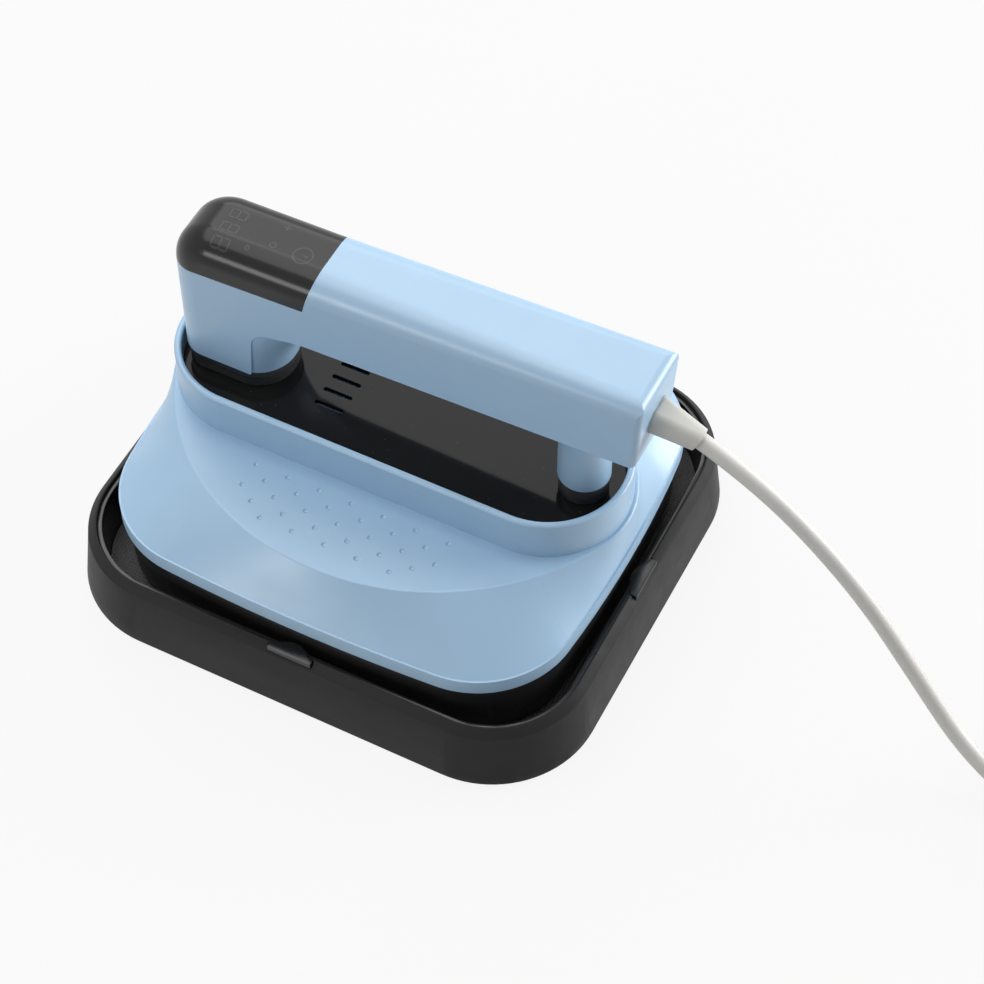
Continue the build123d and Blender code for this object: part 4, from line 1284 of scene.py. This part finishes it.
    def tie(self) -> bpy.types.Object:
        """Strap round the coil's section, closed and squeezed flat underneath.

        Returns:
            The strap.
        """
        turn = math.radians(self.tie_angle)
        width = self.coil_columns * (self.diameter + self.tie_thickness)
        height = self.coil_layers * self.diameter + self.tie_thickness
        x = self.coil_middle[0] + self.coil_radius * math.cos(turn)
        y = self.coil_middle[1] + self.coil_radius * math.sin(turn)
        deselect()
        bpy.ops.mesh.primitive_plane_add(
            size=1.0, location=(x, y, height / 2), rotation=(QUARTER, 0.0, turn)
        )
        strap = bpy.context.object
        strap.name = "coil_tie"
        strap.scale = (width, height, 1.0)
        settle(strap)
        bpy.ops.object.mode_set(mode="EDIT")
        bpy.ops.mesh.select_all(action="SELECT")
        bpy.ops.mesh.bevel(
            offset=self.tie_corner, segments=self.tie_corner_steps, affect="VERTICES"
        )
        bpy.ops.mesh.select_all(action="SELECT")
        bpy.ops.mesh.inset(thickness=self.tie_thickness)
        bpy.ops.mesh.delete(type="FACE")
        bpy.ops.object.mode_set(mode="OBJECT")
        apply_modifier(strap, "SOLIDIFY", thickness=self.tie_width, offset=0.0)
        soften(strap, self.tie_edge)
        self.wardrobe.wear(strap, "tie_cloth", STRAP)
        return strap

    def build_details(self) -> list[bpy.types.Object]:
        """Make the cord itself, its plug and the tie round the coil.

        Returns:
            The cord and the pieces on it.
        """
        path = [tuple(corner.co) for corner in self.spline("cord_line", 0.0).vertices]
        cord = link_mesh("mains_cord_tube", self.spline("cord_tube", self.diameter / 2))
        make_active(cord)
        bpy.ops.object.shade_smooth_by_angle(angle=SMOOTH)
        self.wardrobe.dress(cord, Slot.JACKET)
        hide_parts("mains_cord", "cord_coil")
        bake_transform(cord)
        body, sleeve, strap = self.plug(), self.boot(), self.tie()
        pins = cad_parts["plug_pins"]
        self.wardrobe.dress(pins, Slot.BRASS)
        for piece, slot in ((body, Slot.PLUG), (sleeve, Slot.PLUG), (strap, Slot.BLACK)):
            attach(piece, Body.TRAY.value)
        return [cord, body, pins, sleeve, strap]


# --------------------------------------------------------------------- studio
@dataclass
class Studio:
    """Pale floor, even room light, soft lamps and the camera."""

    azimuth: float = 26.98        # of the camera, in degrees
    elevation: float = 53.11
    eye: Point = (0.3759, -0.6520, 1.0270)
    focal_pixels: float = 2762.0  # focal length in a frame of so many pixels
    frame_pixels: float = 984.0
    sensor: float = 36.0
    floor_size: float = 24.0
    floor_colour: Colour = (0.60, 0.60, 0.60)
    floor_roughness: float = 0.9
    floor_glow: float = 0.88      # share of plain white that the camera sees
    paper_grain: float = 0.4 * MM
    paper_drift: float = 0.01
    room: float = 0.23            # strength of the room's even light
    lamps: tuple[tuple[str, Point, float, float], ...] = (   # name, place, side and power
        ("key", (1.15, 1.05, 0.42), 0.9, 24.0),
        ("overhead", (-0.60, -0.05, 1.70), 1.7, 21.0),
        ("back", (-0.90, 1.60, 1.70), 1.7, 20.0),
        ("front", (-0.51, -1.12, 0.285), 0.32, 2.2),
    )

    def camera(self) -> None:
        """Stand the camera at the working side, looking down at the press."""
        turn, rise = math.radians(self.azimuth), math.radians(self.elevation)
        level = math.cos(rise)
        right = Vector((math.cos(turn), math.sin(turn), 0.0))
        back = Vector((math.sin(turn) * level, -math.cos(turn) * level, math.sin(rise)))
        data = bpy.data.cameras.new("camera")
        data.lens = self.focal_pixels * self.sensor / self.frame_pixels
        data.sensor_width = self.sensor
        camera = bpy.data.objects.new("camera", data)
        bpy.context.scene.collection.objects.link(camera)
        axes = Matrix((right, back.cross(right), back)).transposed().to_4x4()
        camera.matrix_world = Matrix.Translation(self.eye) @ axes
        bpy.context.scene.camera = camera

    def floor(self) -> None:
        """Lay a pale floor that shows near white and keeps a soft shadow."""
        deselect()
        bpy.ops.mesh.primitive_plane_add(size=self.floor_size)
        floor = bpy.context.object
        floor.name = "floor"
        floor.data.materials.append(self.paper())

    def paper(self) -> bpy.types.Material:
        """Make the floor's paper, which is whiter to the camera than to the press.

        Returns:
            The material.
        """
        shader = Shader("floor_paper")
        shader.fix(Roughness=self.floor_roughness, Specular_IOR_Level=0.0)
        grain = shader.noise(self.paper_grain, 3.0)
        shader.paint(shader.drift(grain, self.floor_colour, self.paper_drift))
        glow = shader.node("ShaderNodeEmission")
        glow.inputs["Strength"].default_value = 1.0
        share = shader.node("ShaderNodeMath", operation="MULTIPLY")
        shader.link(self.seen(shader.tree), share.inputs[0])
        share.inputs[1].default_value = self.floor_glow
        mix = shader.node("ShaderNodeMixShader")
        shader.link(share.outputs[0], mix.inputs[0])
        shader.link(shader.surface.outputs[0], mix.inputs[1])
        shader.link(glow.outputs[0], mix.inputs[2])
        shader.link(mix.outputs[0], shader.tree.nodes["Material Output"].inputs["Surface"])
        return shader.material

    def seen(self, tree: bpy.types.NodeTree) -> Socket:
        """One where a ray comes from the camera, a gloss or a clear piece.

        Args:
            tree: Node tree that needs it.

        Returns:
            The switch, zero or one.
        """
        paths = tree.nodes.new("ShaderNodeLightPath").outputs
        total = paths["Is Camera Ray"]
        for ray in ("Is Glossy Ray", "Is Transmission Ray"):
            either = tree.nodes.new("ShaderNodeMath")
            either.operation = "MAXIMUM"
            tree.links.new(total, either.inputs[0])
            tree.links.new(paths[ray], either.inputs[1])
            total = either.outputs[0]
        return total

    def room_light(self) -> None:
        """Light the room evenly, and show it white to the camera."""
        world = bpy.data.worlds.new("room")
        bpy.context.scene.world = world
        world.use_nodes = True
        tree = world.node_tree
        background = tree.nodes["Background"]
        background.inputs["Color"].default_value = (1.0, 1.0, 1.0, 1.0)
        level = tree.nodes.new("ShaderNodeMapRange")
        level.inputs["To Min"].default_value = self.room
        level.inputs["To Max"].default_value = 1.0
        tree.links.new(self.seen(tree), level.inputs["Value"])
        tree.links.new(level.outputs["Result"], background.inputs["Strength"])

    def lamp(self, name: str, place: Point, size: float, power: float) -> None:
        """Hang a soft square lamp that faces the press.

        Args:
            name: Name of the lamp.
            place: Where it hangs.
            size: Length of its side, in metres.
            power: Its power, in watts.
        """
        data = bpy.data.lights.new(name, "AREA")
        data.size = size
        data.energy = power
        lamp = bpy.data.objects.new(name, data)
        bpy.context.scene.collection.objects.link(lamp)
        lamp.location = place
        lamp.rotation_euler = (-Vector(place)).to_track_quat("-Z", "Y").to_euler()

    def build(self) -> None:
        """Set up the whole studio."""
        self.camera()
        self.floor()
        self.room_light()
        for lamp in self.lamps:
            self.lamp(*lamp)
        bpy.context.scene.view_settings.view_transform = "Standard"


def report(assembly: Assembly, pieces: Iterable[bpy.types.Object]) -> None:
    """Log each piece that an assembly shows."""
    for piece in pieces:
        log.info("%s: %s, %d faces", type(assembly).__name__, piece.name, len(piece.data.polygons))


def main() -> None:
    """Build the press, its tray and the studio."""
    logging.basicConfig(level=logging.INFO, format="%(name)s: %(message)s")
    wardrobe = Wardrobe()
    for kind in (StorageTray, HeatingStack, Housing, Electronics, Handle, MainsCord):
        assembly = kind(wardrobe=wardrobe)
        report(assembly, assembly.build())
    Studio().build()


if __name__ == "__main__":
    main()
